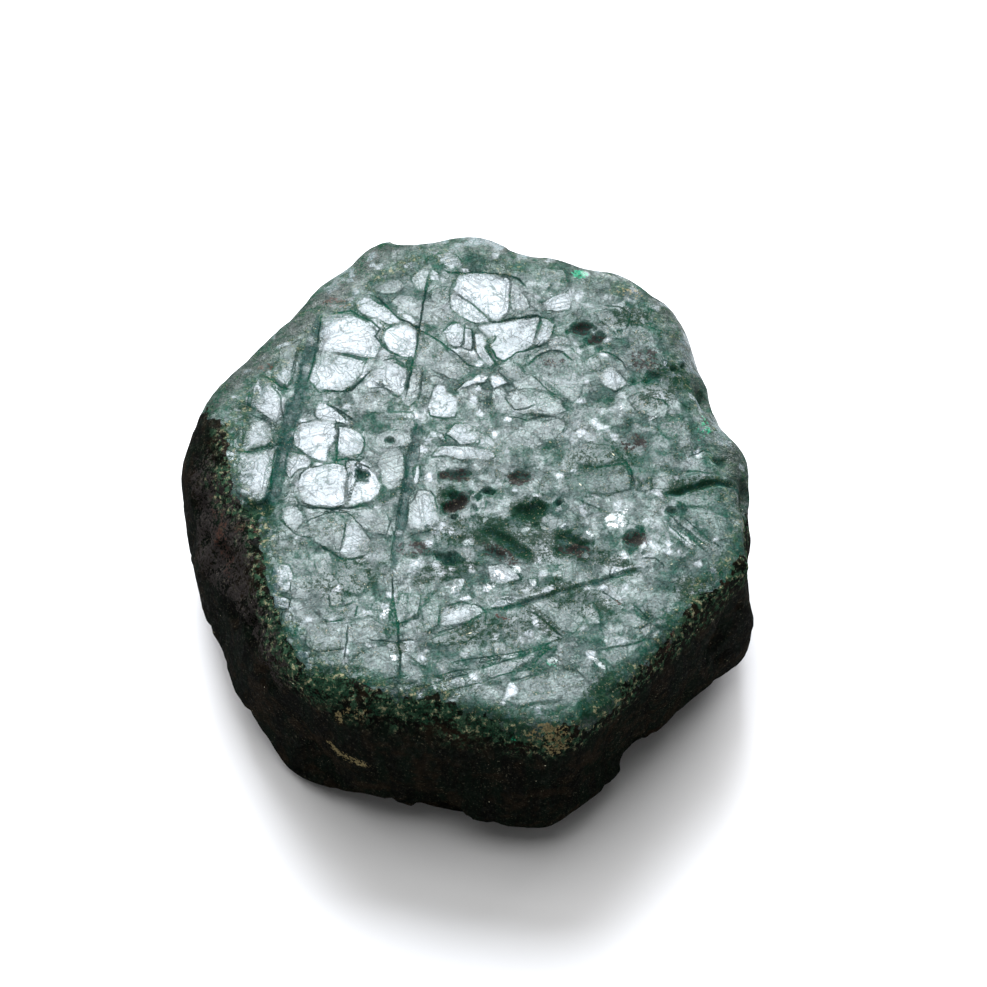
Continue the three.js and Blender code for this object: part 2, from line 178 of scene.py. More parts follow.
@dataclass
class CrystalForm:
    """The worn six-sided body without its relief, as a rounded polyhedron."""

    first_face: float = 17.6
    foot_inset: float = 2.4
    foot_lean: float = 40.0
    rounding: float = 40.0
    faces: tuple[CrystalFace, ...] = (
        CrystalFace(14.1, 15.6, 45),
        CrystalFace(16.6, 18.0, 65),
        CrystalFace(14.8, 17.3, 60),
        CrystalFace(13.5, 15.7, 38),
        CrystalFace(14.4, 16.0, 42),
        CrystalFace(15.0, 15.2, 42),
    )
    worn_corners: tuple[Span, ...] = (
        (47.6, 19.2), (107.6, 19.8), (165.0, 17.6), (227.6, 15.9), (287.6, 17.6), (347.5, 16.1),
    )
    waves: tuple[SideWave, ...] = (
        SideWave(0.13, 5, 0.5, 0.9),
        SideWave(0.09, 11, -0.7, 2.1),
        SideWave(0.06, 17, 1.3, 4.0),
    )
    swells: tuple[OutlineSwell, ...] = (
        OutlineSwell(-17, 0.6, 4), OutlineSwell(-1, -0.25, 4), OutlineSwell(14, 0.72, 6),
        OutlineSwell(28, -0.2, 4), OutlineSwell(46, 0.42, 7), OutlineSwell(57, -0.45, 4),
        OutlineSwell(68, -0.4, 4), OutlineSwell(89, 0.62, 6), OutlineSwell(100, -0.45, 4),
        OutlineSwell(108, 0.35, 4), OutlineSwell(121, 0.68, 6), OutlineSwell(131, 0.15, 4),
        OutlineSwell(158, -0.3, 6), OutlineSwell(190, 0.4, 6),
    )

    def planes(self) -> tuple[np.ndarray, np.ndarray]:
        """The bounding planes seen from the middle of the stone.

        Returns:
            Their outward normals, and their distances from the middle.
        """
        middle = THICKNESS / 2
        normals = [(0.0, 0.0, 1.0), (0.0, 0.0, -1.0)]
        reaches = [middle, middle]

        def add(azimuth: float, lean: float, distance: float, height: float) -> None:
            """Adds the plane that faces one way and passes at a distance from the axis at a height."""
            out, up = math.cos(lean), math.sin(lean)
            normals.append((out * math.cos(azimuth), out * math.sin(azimuth), up))
            reaches.append(out * distance + up * (height - middle))

        for i, face in enumerate(self.faces):
            azimuth = math.radians(self.first_face + i * 360 / len(self.faces))
            add(azimuth, 0.0, face.girth, middle)
            add(azimuth, math.radians(face.lean), face.ridge, THICKNESS)
            add(azimuth, -math.radians(self.foot_lean), face.girth - self.foot_inset, 0.0)
        for azimuth, distance in self.worn_corners:
            add(math.radians(azimuth), 0.0, distance, middle)
        return np.array(normals), np.array(reaches)

    def project(self, points: np.ndarray) -> np.ndarray:
        """Moves points out from the middle of the stone on to its rounded surface.

        Args:
            points: positions with z from 0 at the base.

        Returns:
            The moved positions.
        """
        normals, reaches = self.planes()
        middle = np.array([0.0, 0.0, THICKNESS / 2])
        rays = points - middle
        closeness = np.maximum(rays @ normals.T / reaches, 0.0)
        largest = closeness.max(axis=1, keepdims=True)
        gauge = largest[:, 0] * ((closeness / largest) ** self.rounding).sum(axis=1) ** (1 / self.rounding)
        return middle + rays / gauge[:, None]

    def wave(self, points: np.ndarray) -> np.ndarray:
        """How far the slow waves and the swells push the sides out at the given points."""
        angle = np.arctan2(points[:, 1], points[:, 0])
        push = sum(w.size * np.sin(w.around * angle + w.up * points[:, 2] + w.phase) for w in self.waves)
        for swell in self.swells:
            turn = turn_from(np.degrees(angle), swell.azimuth)
            push = push + swell.size * np.exp(-((turn / swell.spread) ** 2))
        return push


@dataclass(frozen=True)
class GrooveSet:
    """Grooves of one width and depth, each a path over the top face.

    The floor is as dark as the tone says, from 0 to 1. Thin lines run at the rims' distance on both sides,
    but where it is 0 there are none.
    """

    width: float
    depth: float
    tone: float
    rims: float
    paths: tuple[Path, ...]


@dataclass(frozen=True)
class LineSet:
    """Thin cracks or scratches of one width and darkness, with a shallow fold of the face along them."""

    width: float
    dark: float
    fold: float
    paths: tuple[Path, ...]


@dataclass(frozen=True)
class Plate:
    """A smooth flat plate of the top face: its polish from 0 to 1, and its outline."""

    polish: float
    outline: Path


@dataclass(frozen=True)
class Pit:
    """A hollow in the top face, with its half lengths, depth and turn in degrees."""

    x: float
    y: float
    long: float
    wide: float
    depth: float
    turn: float


@dataclass(frozen=True)
class Chip:
    """A shallow bite out of the sides, at a direction in degrees and a height."""

    azimuth: float
    z: float
    radius: float
    depth: float


class Tint(enum.Enum):
    """Kinds of coloured patch, each named for the attribute that carries it."""

    EMERALD = "emerald"
    DEEP = "deep"
    # Pale fracture chips, partly painted glints: their light colour stands in for highlights
    PALE_AND_GLINT = "pale"
    BROWN = "brown"
    RUST = "rust"
    OCHRE = "ochre"


@dataclass(frozen=True)
class Patch:
    """A coloured patch: its middle and half lengths seen from above, its turn in degrees and its strength.

    The last two say how far below the top face its middle lies, and how far up and down it reaches.
    """

    x: float
    y: float
    long: float
    wide: float
    turn: float
    strength: float
    below: float = 0.0
    tall: float = 2.2


# The long straight grooves, the side gash and the two dark valleys in the middle
LONG_GROOVES = (
    GrooveSet(1.0, 0.05, 0.80, 0.75, (
        ((-9.2, 12.6), (-9.6, 10), (-10.1, 7.6), (-10.7, 5), (-11.05, 3.4), (-11.3, 1.2), (-11.7, -0.4),
         (-12, -1.8)),
    )),
    GrooveSet(0.7, 0.04, 0.70, 0.28, (
        ((-3.15, 5.6), (-3.3, 4.4), (-3.5, 3.2), (-3.7, 2), (-3.9, 0.4), (-4.1, -0.8), (-4.3, -2.4),
         (-4.7, -5.2)),
    )),
    GrooveSet(0.5, 0.24, 1.0, 0.2, (
        ((11.1, -0.1), (11.8, 0), (12.5, 0.3), (13.3, 0.55), (14.1, 0.7), (14.8, 0.7), (15.4, 0.6)),
    )),
    GrooveSet(0.8, 0.15, 1.0, 0.0, (
        ((0.4, -2.6), (1.2, -2.95), (1.85, -3.35), (2.1, -3.75), (2.65, -4.1), (3.2, -4.5)),
        ((4.8, -3.1), (5.4, -3.3), (6, -3.6), (6.4, -3.8)),
    )),
    GrooveSet(0.30, 0.08, 0.9, 0.0, (
        ((0.9, -8.1), (1.6, -7.95), (2.4, -7.75), (3.2, -7.5), (4.2, -7.15), (5, -6.85), (5.8, -6.6),
         (6.7, -6.3), (8, -5.8), (9.3, -5.4), (10, -5.2)),
    )),
)

# Cracks that part the larger plates
CRACKS = LineSet(0.17, 0.95, 0.010, (
    ((-2.6, 16.4), (-2.9, 14.5), (-3.1, 13), (-3.3, 11.6), (-3.5, 10), (-3.7, 8.8), (-3.9, 7.5),
     (-4.15, 6.1)),
    ((-4.7, -5.2), (-4.7, -7.2), (-4.4, -9), (-4.2, -11), (-4.3, -13.2)),
    ((-12.5, 8.4), (-11.9, 7.9), (-11.35, 7.4), (-10.7, 7.25)),
    ((-14, 2.75), (-13.2, 2.8), (-12.4, 3.1), (-11.6, 3.25), (-10.9, 3.4)),
    ((-9, 12.8), (-8, 12.8), (-7.3, 12.9), (-6.8, 12.5), (-6.1, 12.1), (-5.6, 11.5), (-5.85, 11),
     (-5.5, 10.4), (-5, 9.9), (-4.4, 9.7), (-3.75, 9.35)),
    ((-5.9, 8.7), (-6.4, 8.3), (-6.8, 7.7), (-7.2, 7.2), (-8, 7.05), (-9.2, 7.25)),
    ((-7.1, 14.1), (-6.5, 14.2), (-5.7, 13.7), (-5.2, 13.1), (-4.8, 12.6), (-4.4, 12.2), (-3.9, 12),
     (-3.3, 11.5), (-2.6, 11), (-2, 10.6), (-1.5, 10.1), (-1, 9.6), (-0.5, 9), (0.9, 8.6)),
    ((-2.2, 16.2), (-1.5, 15.6), (-0.9, 15.55), (0, 15.7), (0.9, 15.6), (2, 15.5), (2.6, 15.2), (3, 14.6),
     (3.2, 14.1)),
    ((-8.8, 6.3), (-8, 5.75), (-7.35, 5.3), (-6.95, 4.95)),
    ((-8, 5), (-8, 4), (-8.05, 3), (-8, 2.2), (-7.4, 2.3), (-6.8, 2.2), (-6.2, 2.4)),
    ((-10.1, -0.9), (-9.6, -1.1), (-9, -1.15), (-8, -1.1), (-7, -1.05), (-6, -0.95)),
    ((-9, -3.5), (-8.6, -3.9), (-8.1, -4.2), (-7.7, -4.5), (-7, -4.6), (-6.4, -4.4), (-6, -4.2)),
    ((0.65, 12.5), (0.95, 12), (1.45, 12.05), (2, 12.25), (2.65, 12.35), (3.05, 12.5), (3.6, 12.55),
     (4.25, 12.3), (4.55, 11.9)),
    ((0.9, 10.4), (1, 10), (1.3, 9.4), (1.7, 9.2), (2.4, 9.8), (3.4, 10.1), (3.9, 10.3), (4.3, 10.9)),
    ((3.1, 8.8), (3.3, 9.2), (3.85, 9.7), (4.4, 9.95), (5.05, 9.9), (5.5, 9.5), (5.9, 9.05)),
    ((6, 1.9), (7, 1.75), (8, 1.85), (8.8, 2.05), (9.1, 1.4), (9.2, 0.8), (9.2, 0.2)),
    ((3.1, -8.1), (3.8, -8.6), (4.3, -9.1), (4.7, -9.6), (5.1, -10)),
))

# Finer cracks and scratches, and one painted shadow line
FINE_CRACKS = LineSet(0.13, 0.85, 0.005, (
    ((-6.2, -9.8), (-5.8, -10.2), (-4.8, -10.2), (-3.2, -10.1)), ((-1.9, -7.7), (-2.1, -9.3)),
    ((-4.7, -7.1), (-4.9, -9)), ((7.2, -6.7), (8.6, -7.9)), ((-1.4, -11.6), (1.4, -11.1), (4.4, -10.5)),
    ((-6.5, -13.1), (-5.1, -12.8), (-3.6, -12.4)), ((-3.9, -13.6), (-2.2, -13), (-0.1, -12.3)),
    ((-10.4, 10.7), (-10.5, 9.5), (-10.8, 8.2)),
    ((-11.6, 2.9), (-11.8, 0.2)),
    ((-3.0, 8.8), (-3.15, 7.4), (-3.45, 6), (-3.15, 5.6)),
    ((-13.2, 7.3), (-13.3, 6.4), (-13.2, 5.8)),
    ((-12.1, 7.7), (-11.4, 6.8), (-11.2, 5.6), (-11, 4.9)),
    ((-13.3, 5.6), (-12.8, 5.3), (-12, 5), (-11.7, 4.5)),
    ((-13.6, 5), (-13.5, 4), (-13.6, 3.1)),
    ((-1.2, 15.3), (-1.5, 14.4), (-1.45, 13.6), (-1.9, 13.1)),
    ((-1, 14.1), (-0.4, 13.5), (0.2, 12.9), (0.8, 12.4)),
    ((3.8, 12.3), (3.6, 11.3), (3.4, 10.3)),
    ((1.1, 11.1), (1.2, 10.9), (1.1, 10.5)),
    ((3.2, 8.4), (4, 7.45), (4.65, 6.8), (5.4, 6.1)),
    ((1, 7.2), (1.5, 7.5), (2, 7.6)),
    ((1.8, 7), (1.75, 6.55), (2, 6.15), (2.25, 5.75), (3, 5.9), (3.7, 6.2)),
    ((1.6, 5.3), (2.5, 5.25), (3.05, 5.05), (3.85, 5.3), (4.6, 5.35), (5.1, 5.3)),
    ((1.2, 8.6), (1.7, 8.1), (2, 7.8)),
    ((-0.6, 11.9), (-0.65, 11), (-0.7, 10.3)),
    ((-0.05, 11.4), (-0.1, 10.2)),
    ((-2.1, 11.2), (-1.7, 11.8), (-1.2, 12.1), (-0.8, 11.9)),
    ((-5.5, 9.2), (-4.8, 9.5), (-4.2, 9.1), (-4, 8.6)),
    ((-6, 7.9), (-5.4, 7.4), (-4.8, 6.8), (-4.3, 6.6)),
    ((-2.4, 8.5), (-1.9, 8.3), (-1.5, 7.9)),
    # The next path is a painted shadow along the lower edge of the small bright plates near (0, 7.8)
    ((-1, 7.2), (-0.4, 7.4), (0.15, 7.6), (0.8, 7.5)),
    ((-10.3, 3), (-9.5, 2.4), (-8.6, 2.05)),
    ((-7.4, 1), (-7.5, -0.6)),
    ((-9.9, -2.4), (-9.5, -1.9), (-8.9, -1.6), (-8.1, -1.3), (-7.4, -1.4), (-7, -1.7), (-6.6, -2.2),
     (-6.2, -2.8)),
    ((-7.4, -1.9), (-7.5, -2.8), (-7.6, -3.6), (-7.7, -4.2)),
    ((-11.4, -1.7), (-10.9, -2.2), (-10.4, -2.8), (-9.9, -3), (-9.2, -3.2)),
    ((-9.3, -8.1), (-8.8, -8.5), (-8.4, -8.85), (-7.4, -8.8), (-7.15, -8.7)),
    ((-8.6, -7.9), (-7.9, -7.95), (-7.2, -7.7), (-6.8, -7.5)),
    ((-7.2, -8.7), (-7.2, -9.6), (-7.3, -10.5), (-7.45, -11.6)),
    ((-8.6, -10.9), (-7.4, -10.7)),
    ((-8.3, -7), (-8.3, -7.9)),
    ((-6.7, -7.7), (-6.8, -8.6)),
    ((-10.5, -6), (-10.5, -6.9)),
    ((7.35, 13.3), (8.4, 13.15), (9.2, 12.7), (9, 11.8), (8.8, 11.2)),
    ((9, 11.8), (10, 11.9), (10.6, 11.6), (11.2, 11.4)),
    ((7.1, 9.9), (7.8, 9.8), (8.3, 9.5), (8.7, 9.1), (9, 8.3)),
    ((8.8, 7.4), (9.6, 7.7), (10.15, 7.9), (10.65, 8.3)),
    ((10.2, 6.7), (11, 6.5), (11.4, 6)),
    ((8.2, 2.7), (8.6, 2.3), (8.9, 2)),
    ((12.2, 2.5), (12.8, 2.7), (13.3, 2.9), (13.7, 2.8)),
    ((12, 1.5), (13, 1.45), (13.8, 1.3)),
    ((6, -0.5), (6.5, -0.85), (7, -1.1), (7.4, -1.4)),
    ((9.6, -4.6), (10.4, -4.6), (10.8, -4.9), (10.9, -5.3)),
    ((10.9, -1.2), (12, -2.4), (13, -3.4), (13.6, -4)),
    ((10.9, -2), (11.6, -2.8), (12.4, -3.6)),
    ((11.8, -1.5), (13, -2.8), (14.2, -4)),
    ((11.3, -1.7), (13.4, -4.3)),
    ((-4.1, -3.3), (-3.6, -3), (-3, -2.8), (-2.4, -2.6), (-2, -2.8)),
    ((-2, -7.9), (-1.4, -7.75), (-0.6, -7.55), (0, -7.7), (0.4, -8), (0.7, -8.3), (0.65, -9.2)),
    ((-2.8, -9.75), (-2, -9.65), (-1.4, -9.35), (-0.7, -9.05), (0, -8.75), (0.6, -8.5)),
    ((0, -12.15), (0.6, -11.9), (1.3, -11.65), (2.1, -11.35), (2.9, -11.1), (3.6, -10.85), (4.3, -10.55)),
    ((0.1, -11.7), (1, -11.45), (1.7, -11.3)),
    ((3.2, -10.6), (4, -10.45), (4.6, -10.2), (5.1, -10)),
    ((0.5, -12.45), (1, -12.65), (1.5, -12.5), (2.2, -12.25), (3, -12.05), (3.8, -11.8)),
    ((3.3, -11.8), (3.7, -11.3), (4.1, -10.75), (4.5, -10.6)),
    ((-2.6, -12.95), (-1.9, -12.75), (-1.2, -12.6), (-0.4, -12.4)),
    ((-2.4, -12.5), (-1.6, -12.3), (-1, -12.15), (-0.1, -12.1)),
    ((-1.9, -13.65), (-1.2, -13.45), (-0.5, -13.2), (0.1, -13), (0.8, -12.8)),
    ((-4, -13.5), (-3.4, -13.25), (-2.8, -13.05)),
    ((-5.8, -13.2), (-5, -13.1), (-4.2, -13), (-3.2, -12.9)),
    ((-4.8, -9.15), (-4.3, -9), (-3.7, -8.7), (-3.1, -8.6)),
    ((2, -12.8), (2.7, -12.6), (3.5, -12.3)),
    ((-3.9, -11), (-3.4, -11.5), (-3, -11.9), (-2.6, -12.1)),
    ((8.9, -7.6), (9.5, -8.2), (10, -8.8)),
    ((6.8, -10.9), (7.6, -10.7), (8.4, -10.5), (9.2, -10.3), (9.9, -10)),
))

# Where the plated face ends and the worn rim begins, anticlockwise
TOP_EDGE: Path = (
    (-14.2, 1.5), (-14, 0), (-12.5, -1.5), (-11.9, -3), (-11.7, -6), (-11.5, -7.6), (-11.1, -8.2),
    (-11, -9.2), (-10.5, -10), (-10, -11), (-9.6, -12.1), (-8.4, -12.1), (-7.2, -12.6), (-6, -13.5),
    (-5, -13.7), (-4.4, -13.9), (-3.2, -14), (-2.8, -13.7), (-2, -13.9), (-1.2, -14.5), (-0.6, -15),
    (0.3, -15.1), (1.2, -15.3), (2, -15.8), (3.6, -16.1), (4.5, -15.9), (5, -15.4), (6.5, -15.4),
    (7.4, -14.5), (8.2, -13), (9.5, -12), (10.5, -11), (11.3, -9.5), (12.2, -8), (13, -7), (14.3, -5.5),
    (15.4, -4), (15.6, -2.5), (15.3, -1), (15, 0.5), (14.8, 2), (14.4, 4), (13.6, 6), (12.9, 7.5),
    (12.6, 9), (12.1, 10.5), (11.6, 12), (11, 13.5), (9.8, 14.6), (8, 15), (6.8, 15.3), (5.5, 16),
    (3.5, 16.1), (1.5, 16.5), (0, 17.2), (-1.5, 17.6), (-3, 17), (-4.5, 16.3), (-6, 15.4), (-7.1, 14.6),
    (-7.6, 13.8), (-8.6, 13), (-9.3, 12.7), (-10.3, 11), (-11.7, 10.6), (-12, 9), (-12.8, 8.2),
    (-13.3, 7), (-13.3, 6), (-13.9, 5), (-14.1, 3),
)

# The smooth flat plates between the cracks
PLATES = (
    Plate(1.0, ((-9, 12.6), (-8, 12.65), (-7.3, 12.55), (-6.5, 12), (-5.9, 11.3), (-5.55, 10.4),
        (-5.9, 9.6), (-6.6, 9.4), (-7.6, 9.7), (-9.15, 10), (-9.1, 11.2))),
    Plate(0.88, ((-9.3, 9.8), (-7.6, 9.6), (-6.5, 9.3), (-6.8, 8.4), (-7.1, 7.6), (-7.7, 7.2),
        (-9.1, 7.15), (-9.7, 7.9), (-9.5, 8.6))),
    Plate(0.8, ((-11.5, 10.3), (-11, 10.5), (-10.4, 10.8), (-10.4, 10.2), (-10.5, 9.6), (-10.6, 8.8),
        (-10.8, 8), (-11, 7.6), (-11.6, 7.85), (-11.8, 8.4), (-11.7, 9), (-11.4, 9.4))),
    Plate(0.8, ((-12.7, 7.9), (-12.1, 7.75), (-11.45, 7.05), (-11.1, 6.55), (-11.1, 6.1), (-11.2, 5.3),
        (-11.6, 5), (-12.4, 5.6), (-13.05, 6.1), (-12.9, 6.8), (-12.9, 7.4))),
    Plate(0.75, ((-13, 4.8), (-12.4, 4.95), (-12, 4.6), (-11.8, 4.2), (-11.8, 3.7), (-12.2, 3.3),
        (-13.1, 3.05), (-13.5, 3.05), (-13.35, 3.7), (-13.1, 4.4))),
    Plate(0.5, ((-13.7, 4.7), (-13.4, 4.8), (-13.6, 3.9), (-13.8, 3.1), (-14, 3.2), (-13.9, 4))),
    Plate(0.78, ((-13.55, 2.5), (-12.9, 2.7), (-12.1, 2.9), (-11.65, 2.95), (-11.65, 2.25),
        (-11.75, 1.45), (-11.8, 0.8), (-11.95, -0.1), (-12.15, -0.65), (-12.7, -0.7), (-13.2, -0.3),
        (-13.65, 0.1), (-13.85, 0.7), (-13.75, 1.5), (-13.7, 2.1))),
    Plate(1.0, ((-10.2, 4.7), (-9.2, 4.95), (-8.25, 4.8), (-8.15, 4.1), (-8.3, 3.35), (-8.55, 3.05),
        (-8.6, 2.6), (-8.7, 2.15), (-9.3, 2.3), (-9.9, 2.8), (-10.4, 3.3), (-10.45, 3.85), (-10.3, 4.3))),
    Plate(0.9, ((-7.9, 4.5), (-7.35, 4.5), (-6.8, 4.15), (-6.5, 3.7), (-6.5, 3.2), (-6.65, 2.7),
        (-7.05, 2.6), (-7.6, 2.55), (-7.95, 2.95), (-8, 3.7))),
    Plate(0.95, ((-9.05, 6.3), (-8.7, 6.25), (-8.15, 5.6), (-7.6, 5.05), (-7.2, 4.8), (-7.85, 4.9),
        (-8.9, 5.1), (-9.2, 5.35), (-9.1, 5.85))),
    Plate(0.85, ((-10.8, 2.8), (-10.4, 2.7), (-9.9, 2.5), (-9.5, 2.1), (-9.75, 1.75), (-10.15, 1.7),
        (-10.5, 1.35), (-10.7, 1), (-10.9, 1.5), (-10.9, 2.2))),
    Plate(1.0, ((-10, 1.2), (-9.6, 1.6), (-8.9, 1.8), (-8.2, 1.95), (-7.6, 1.7), (-7.45, 1), (-7.45, 0),
        (-7.6, -0.8), (-8.3, -1), (-9.2, -0.95), (-9.8, -0.7), (-10.05, -0.1), (-10.1, 0.6))),
    Plate(0.95, ((-7.4, 2), (-7, 2.15), (-6.75, 2), (-6.9, 1.2), (-7.1, 0.4), (-7.3, -0.3), (-7.4, -0.6),
        (-7.4, 0.4), (-7.35, 1.3))),
    Plate(1.0, ((-6.8, 1.9), (-6.3, 1.7), (-5.8, 1.2), (-5.55, 0.5), (-5.6, -0.1), (-6.1, -0.6),
        (-6.9, -0.8), (-7.2, -0.7), (-7, 0), (-6.8, 0.7), (-6.5, 0.8), (-6.4, 1.4))),
    Plate(0.9, ((-7.05, 13.5), (-6.8, 13.8), (-6.3, 13.75), (-5.8, 13.3), (-5.1, 12.9), (-4.5, 12.4),
        (-4.4, 12.1), (-5, 11.9), (-5.7, 12.3), (-6.4, 12.6), (-6.9, 13))),
    Plate(1.0, ((-4.25, 12.55), (-3.9, 12.4), (-3.6, 12), (-3.75, 11.8), (-4.1, 12.1))),
    Plate(1.0, ((-5.2, 11.4), (-4.65, 11.75), (-3.9, 11.7), (-3.4, 11.35), (-3.45, 10.8), (-3.5, 10.2),
        (-3.6, 9.6), (-4.4, 9.75), (-5, 10.1), (-5.35, 10.8))),
    Plate(0.95, ((-5.2, 9.05), (-4.6, 9.05), (-4.1, 8.65), (-4.05, 7.9), (-4.15, 7.3), (-4.4, 6.8),
        (-5, 7.2), (-5.5, 7.9), (-5.95, 8.3))),
    Plate(0.7, ((-3.65, 8.6), (-3.3, 8.8), (-3.2, 8.3), (-3.35, 7.5), (-3.6, 6.4), (-3.9, 6.05),
        (-4.1, 6.15), (-3.85, 7.2))),
    Plate(1.0, ((-6.45, 7.7), (-5.95, 8.1), (-5.4, 7.45), (-6.1, 7.4))),
    Plate(0.6, ((-2.95, 13.6), (-2.55, 13.4), (-1.9, 12.95), (-1.2, 12.6), (-1.45, 12.15),
        (-1.85, 11.85), (-2.4, 11.9), (-2.95, 12), (-3.05, 12.7))),
    Plate(0.6, ((-4.9, 13.5), (-4.5, 13.9), (-3.7, 13.85), (-3.2, 13.45), (-3.2, 12.7), (-3.35, 12.25),
        (-3.85, 12.65), (-4.4, 12.95))),
    Plate(0.7, ((-3.5, 15.5), (-3.2, 15.85), (-2.8, 15.9), (-2.8, 15.35), (-2.9, 14.6), (-3.05, 14.25),
        (-3.45, 14.55), (-3.7, 15.1))),
    Plate(0.9, ((-2.55, 15.8), (-2.2, 15.5), (-2.2, 15.1), (-2.6, 15.1))),
    Plate(0.5, ((-2.55, 14.25), (-1.9, 14.5), (-1.45, 14.5), (-1.5, 13.7), (-2, 13.3), (-2.5, 13.7))),
    Plate(0.5, ((-6.2, 14.6), (-5.6, 15), (-4.6, 15.1), (-4.2, 14.7), (-4.6, 14.2), (-5.4, 14.1))),
    Plate(1.0, ((-1, 15.3), (-0.3, 15.55), (0.8, 15.5), (1.9, 15.25), (2.1, 14.8), (2, 14.2),
        (1.95, 13.5), (1.8, 12.8), (1.4, 12.3), (0.9, 12.4), (0.6, 12.6), (0.2, 13), (-0.9, 14),
        (-1.2, 14.4))),
    Plate(1.0, ((-1.3, 13.9), (-0.95, 13.9), (-0.2, 13.2), (0.5, 12.5), (0.7, 12.1), (0, 12),
        (-0.7, 12.5), (-1.4, 13.1))),
    Plate(0.7, ((2.2, 15), (2.6, 14.4), (2.95, 13.7), (3.1, 13.1), (2.7, 12.95), (2.2, 13), (2.1, 13.8))),
    Plate(0.9, ((0.25, 11.6), (1, 11.8), (2, 12), (2.8, 12.25), (3.6, 12.4), (3.85, 12), (3.6, 11.2),
        (3.45, 10.5), (2.8, 10), (2.3, 9.6), (1.7, 9.15), (1.2, 9.6), (1, 10.3), (1.15, 10.9), (0.8, 11.1))),
    Plate(0.85, ((3.95, 12.3), (4.3, 12.2), (4.65, 11.8), (4.5, 11.2), (4.1, 10.6), (3.6, 10.3),
        (3.7, 11.1), (3.9, 11.9))),
    Plate(0.95, ((-1.85, 11.35), (-1.5, 11.8), (-1.05, 11.9), (-0.7, 11.5), (-0.8, 10.9), (-0.9, 10.3),
        (-1.2, 10.3), (-1.5, 10.55))),
    Plate(0.95, ((-0.5, 11.5), (-0.25, 11.4), (-0.2, 10.5), (-0.3, 10.1), (-0.65, 10.2), (-0.6, 10.9))),
    Plate(0.9, ((0.1, 11.1), (0.4, 11.1), (0.6, 10.6), (0.5, 10.2), (0.7, 9.7), (1.1, 9.1), (0.9, 8.95),
        (0.4, 9.4), (0.1, 10))),
    Plate(0.55, ((-3.25, 10.9), (-2.6, 10.9), (-2, 10.4), (-1.5, 9.6), (-0.9, 8.8), (-0.5, 8.3),
        (-1.05, 8), (-1.7, 8.2), (-2.6, 8.8), (-3.3, 8.95), (-3.4, 9.6))),
    Plate(1.0, ((-2.3, 7.3), (-2.1, 7.5), (-1.85, 7.35), (-1.75, 6.95), (-1.15, 6.55), (-1.1, 5.9),
        (-1.2, 5.3), (-1.85, 5.2), (-2.55, 5.35), (-2.7, 6), (-2.55, 6.55))),
    Plate(1.0, ((-1, 7.15), (-0.6, 7.6), (-0.1, 7.8), (0.1, 8.05), (0.35, 8.25), (0.6, 8.05),
        (0.55, 7.75), (0.1, 7.6), (-0.5, 7.35))),
    Plate(1.0, ((1, 8.15), (1.35, 8.15), (1.8, 7.7), (1.55, 7.6), (1.1, 7.4), (0.95, 7.7))),
    Plate(0.6, ((-2.6, 8), (-2.3, 8.1), (-1.9, 7.9), (-2, 7.7), (-2.5, 7.75))),
    Plate(0.6, ((1.1, 7.2), (1.6, 7.3), (1.75, 6.9), (1.7, 6.4), (2, 6), (2.1, 5.6), (1.5, 5.5),
        (1.1, 6.1))),
    Plate(0.6, ((2, 7), (2.4, 7), (3.2, 7.1), (4.2, 6.9), (4.8, 6.3), (5.3, 5.8), (4.8, 5.55),
        (3.8, 5.5), (2.6, 5.6), (2.1, 5.9), (1.85, 6.5))),
    Plate(0.55, ((2.2, 7.7), (2.8, 8.1), (3.4, 8.3), (4.2, 7.6), (4.9, 6.9), (4.3, 7.1), (3.2, 7.3),
        (2.4, 7.2))),
    Plate(0.62, ((3.6, 8.3), (4.3, 7.7), (5, 7), (5.7, 6.4), (6.1, 6.8), (6.2, 7.8), (5.9, 8.1),
        (4.8, 8.2))),
    Plate(0.4, ((3.3, 8.6), (3.5, 9), (4.2, 9.6), (4.9, 9.85), (5.6, 9.4), (5.9, 8.6), (5, 8.3), (4, 8.3))),
    Plate(0.5, ((1.4, 8.9), (1.9, 9.2), (2.6, 8.9), (2.9, 8.3), (2.4, 8), (1.9, 8.2))),
    Plate(0.6, ((3.1, 9.3), (4, 10), (4.8, 10.3), (5.6, 10.1), (6.2, 9.4), (6.3, 8.5), (5.9, 9.2),
        (5.2, 9.9), (4.3, 9.9), (3.5, 9.4))),
    Plate(0.6, ((4.4, 10.7), (4.8, 11), (5.4, 10.8), (5.6, 10.4), (4.9, 10.5), (4.4, 10.2))),
    Plate(0.6, ((3, 15.9), (4, 16), (5.2, 15.9), (5.3, 15.3), (4.6, 15.1), (4.2, 14.5), (3.6, 14.8),
        (3.1, 15.3))),
    Plate(0.85, ((4.1, 13.4), (4.7, 13.9), (5.3, 14.1), (5.6, 13.6), (5.5, 13), (4.8, 12.9), (4.3, 13))),
    Plate(0.5, ((3.3, 13.8), (3.7, 13.4), (4.2, 13.1), (3.9, 12.9), (3.3, 13.2))),
    Plate(1.0, ((-2.3, 17), (-1.6, 17.2), (-1.1, 16.9), (-0.8, 16.3), (-1.4, 16), (-1.9, 16.4))),
    Plate(0.95, ((-1.6, 4.1), (-1.1, 4.7), (-0.1, 4.75), (-0.35, 4.1), (0.2, 4.15), (0.2, 3.4),
        (-0.8, 3.4), (-1.1, 3.7))),
    Plate(0.8, ((0.3, 4.1), (0.8, 3.8), (1.1, 3.35), (0.95, 3.05), (0.2, 3.1), (0.15, 3.6))),
    Plate(0.85, ((-2.4, 2.5), (-2, 3.1), (-1.2, 3.2), (0.2, 3), (0.9, 2.9), (1.1, 2.5), (0.7, 2.2),
        (0, 2.35), (-0.8, 2.3), (-1.6, 2.6))),
    Plate(0.9, ((-2.15, 4.1), (-1.95, 4.1), (-1.75, 3.6), (-1.95, 3.65))),
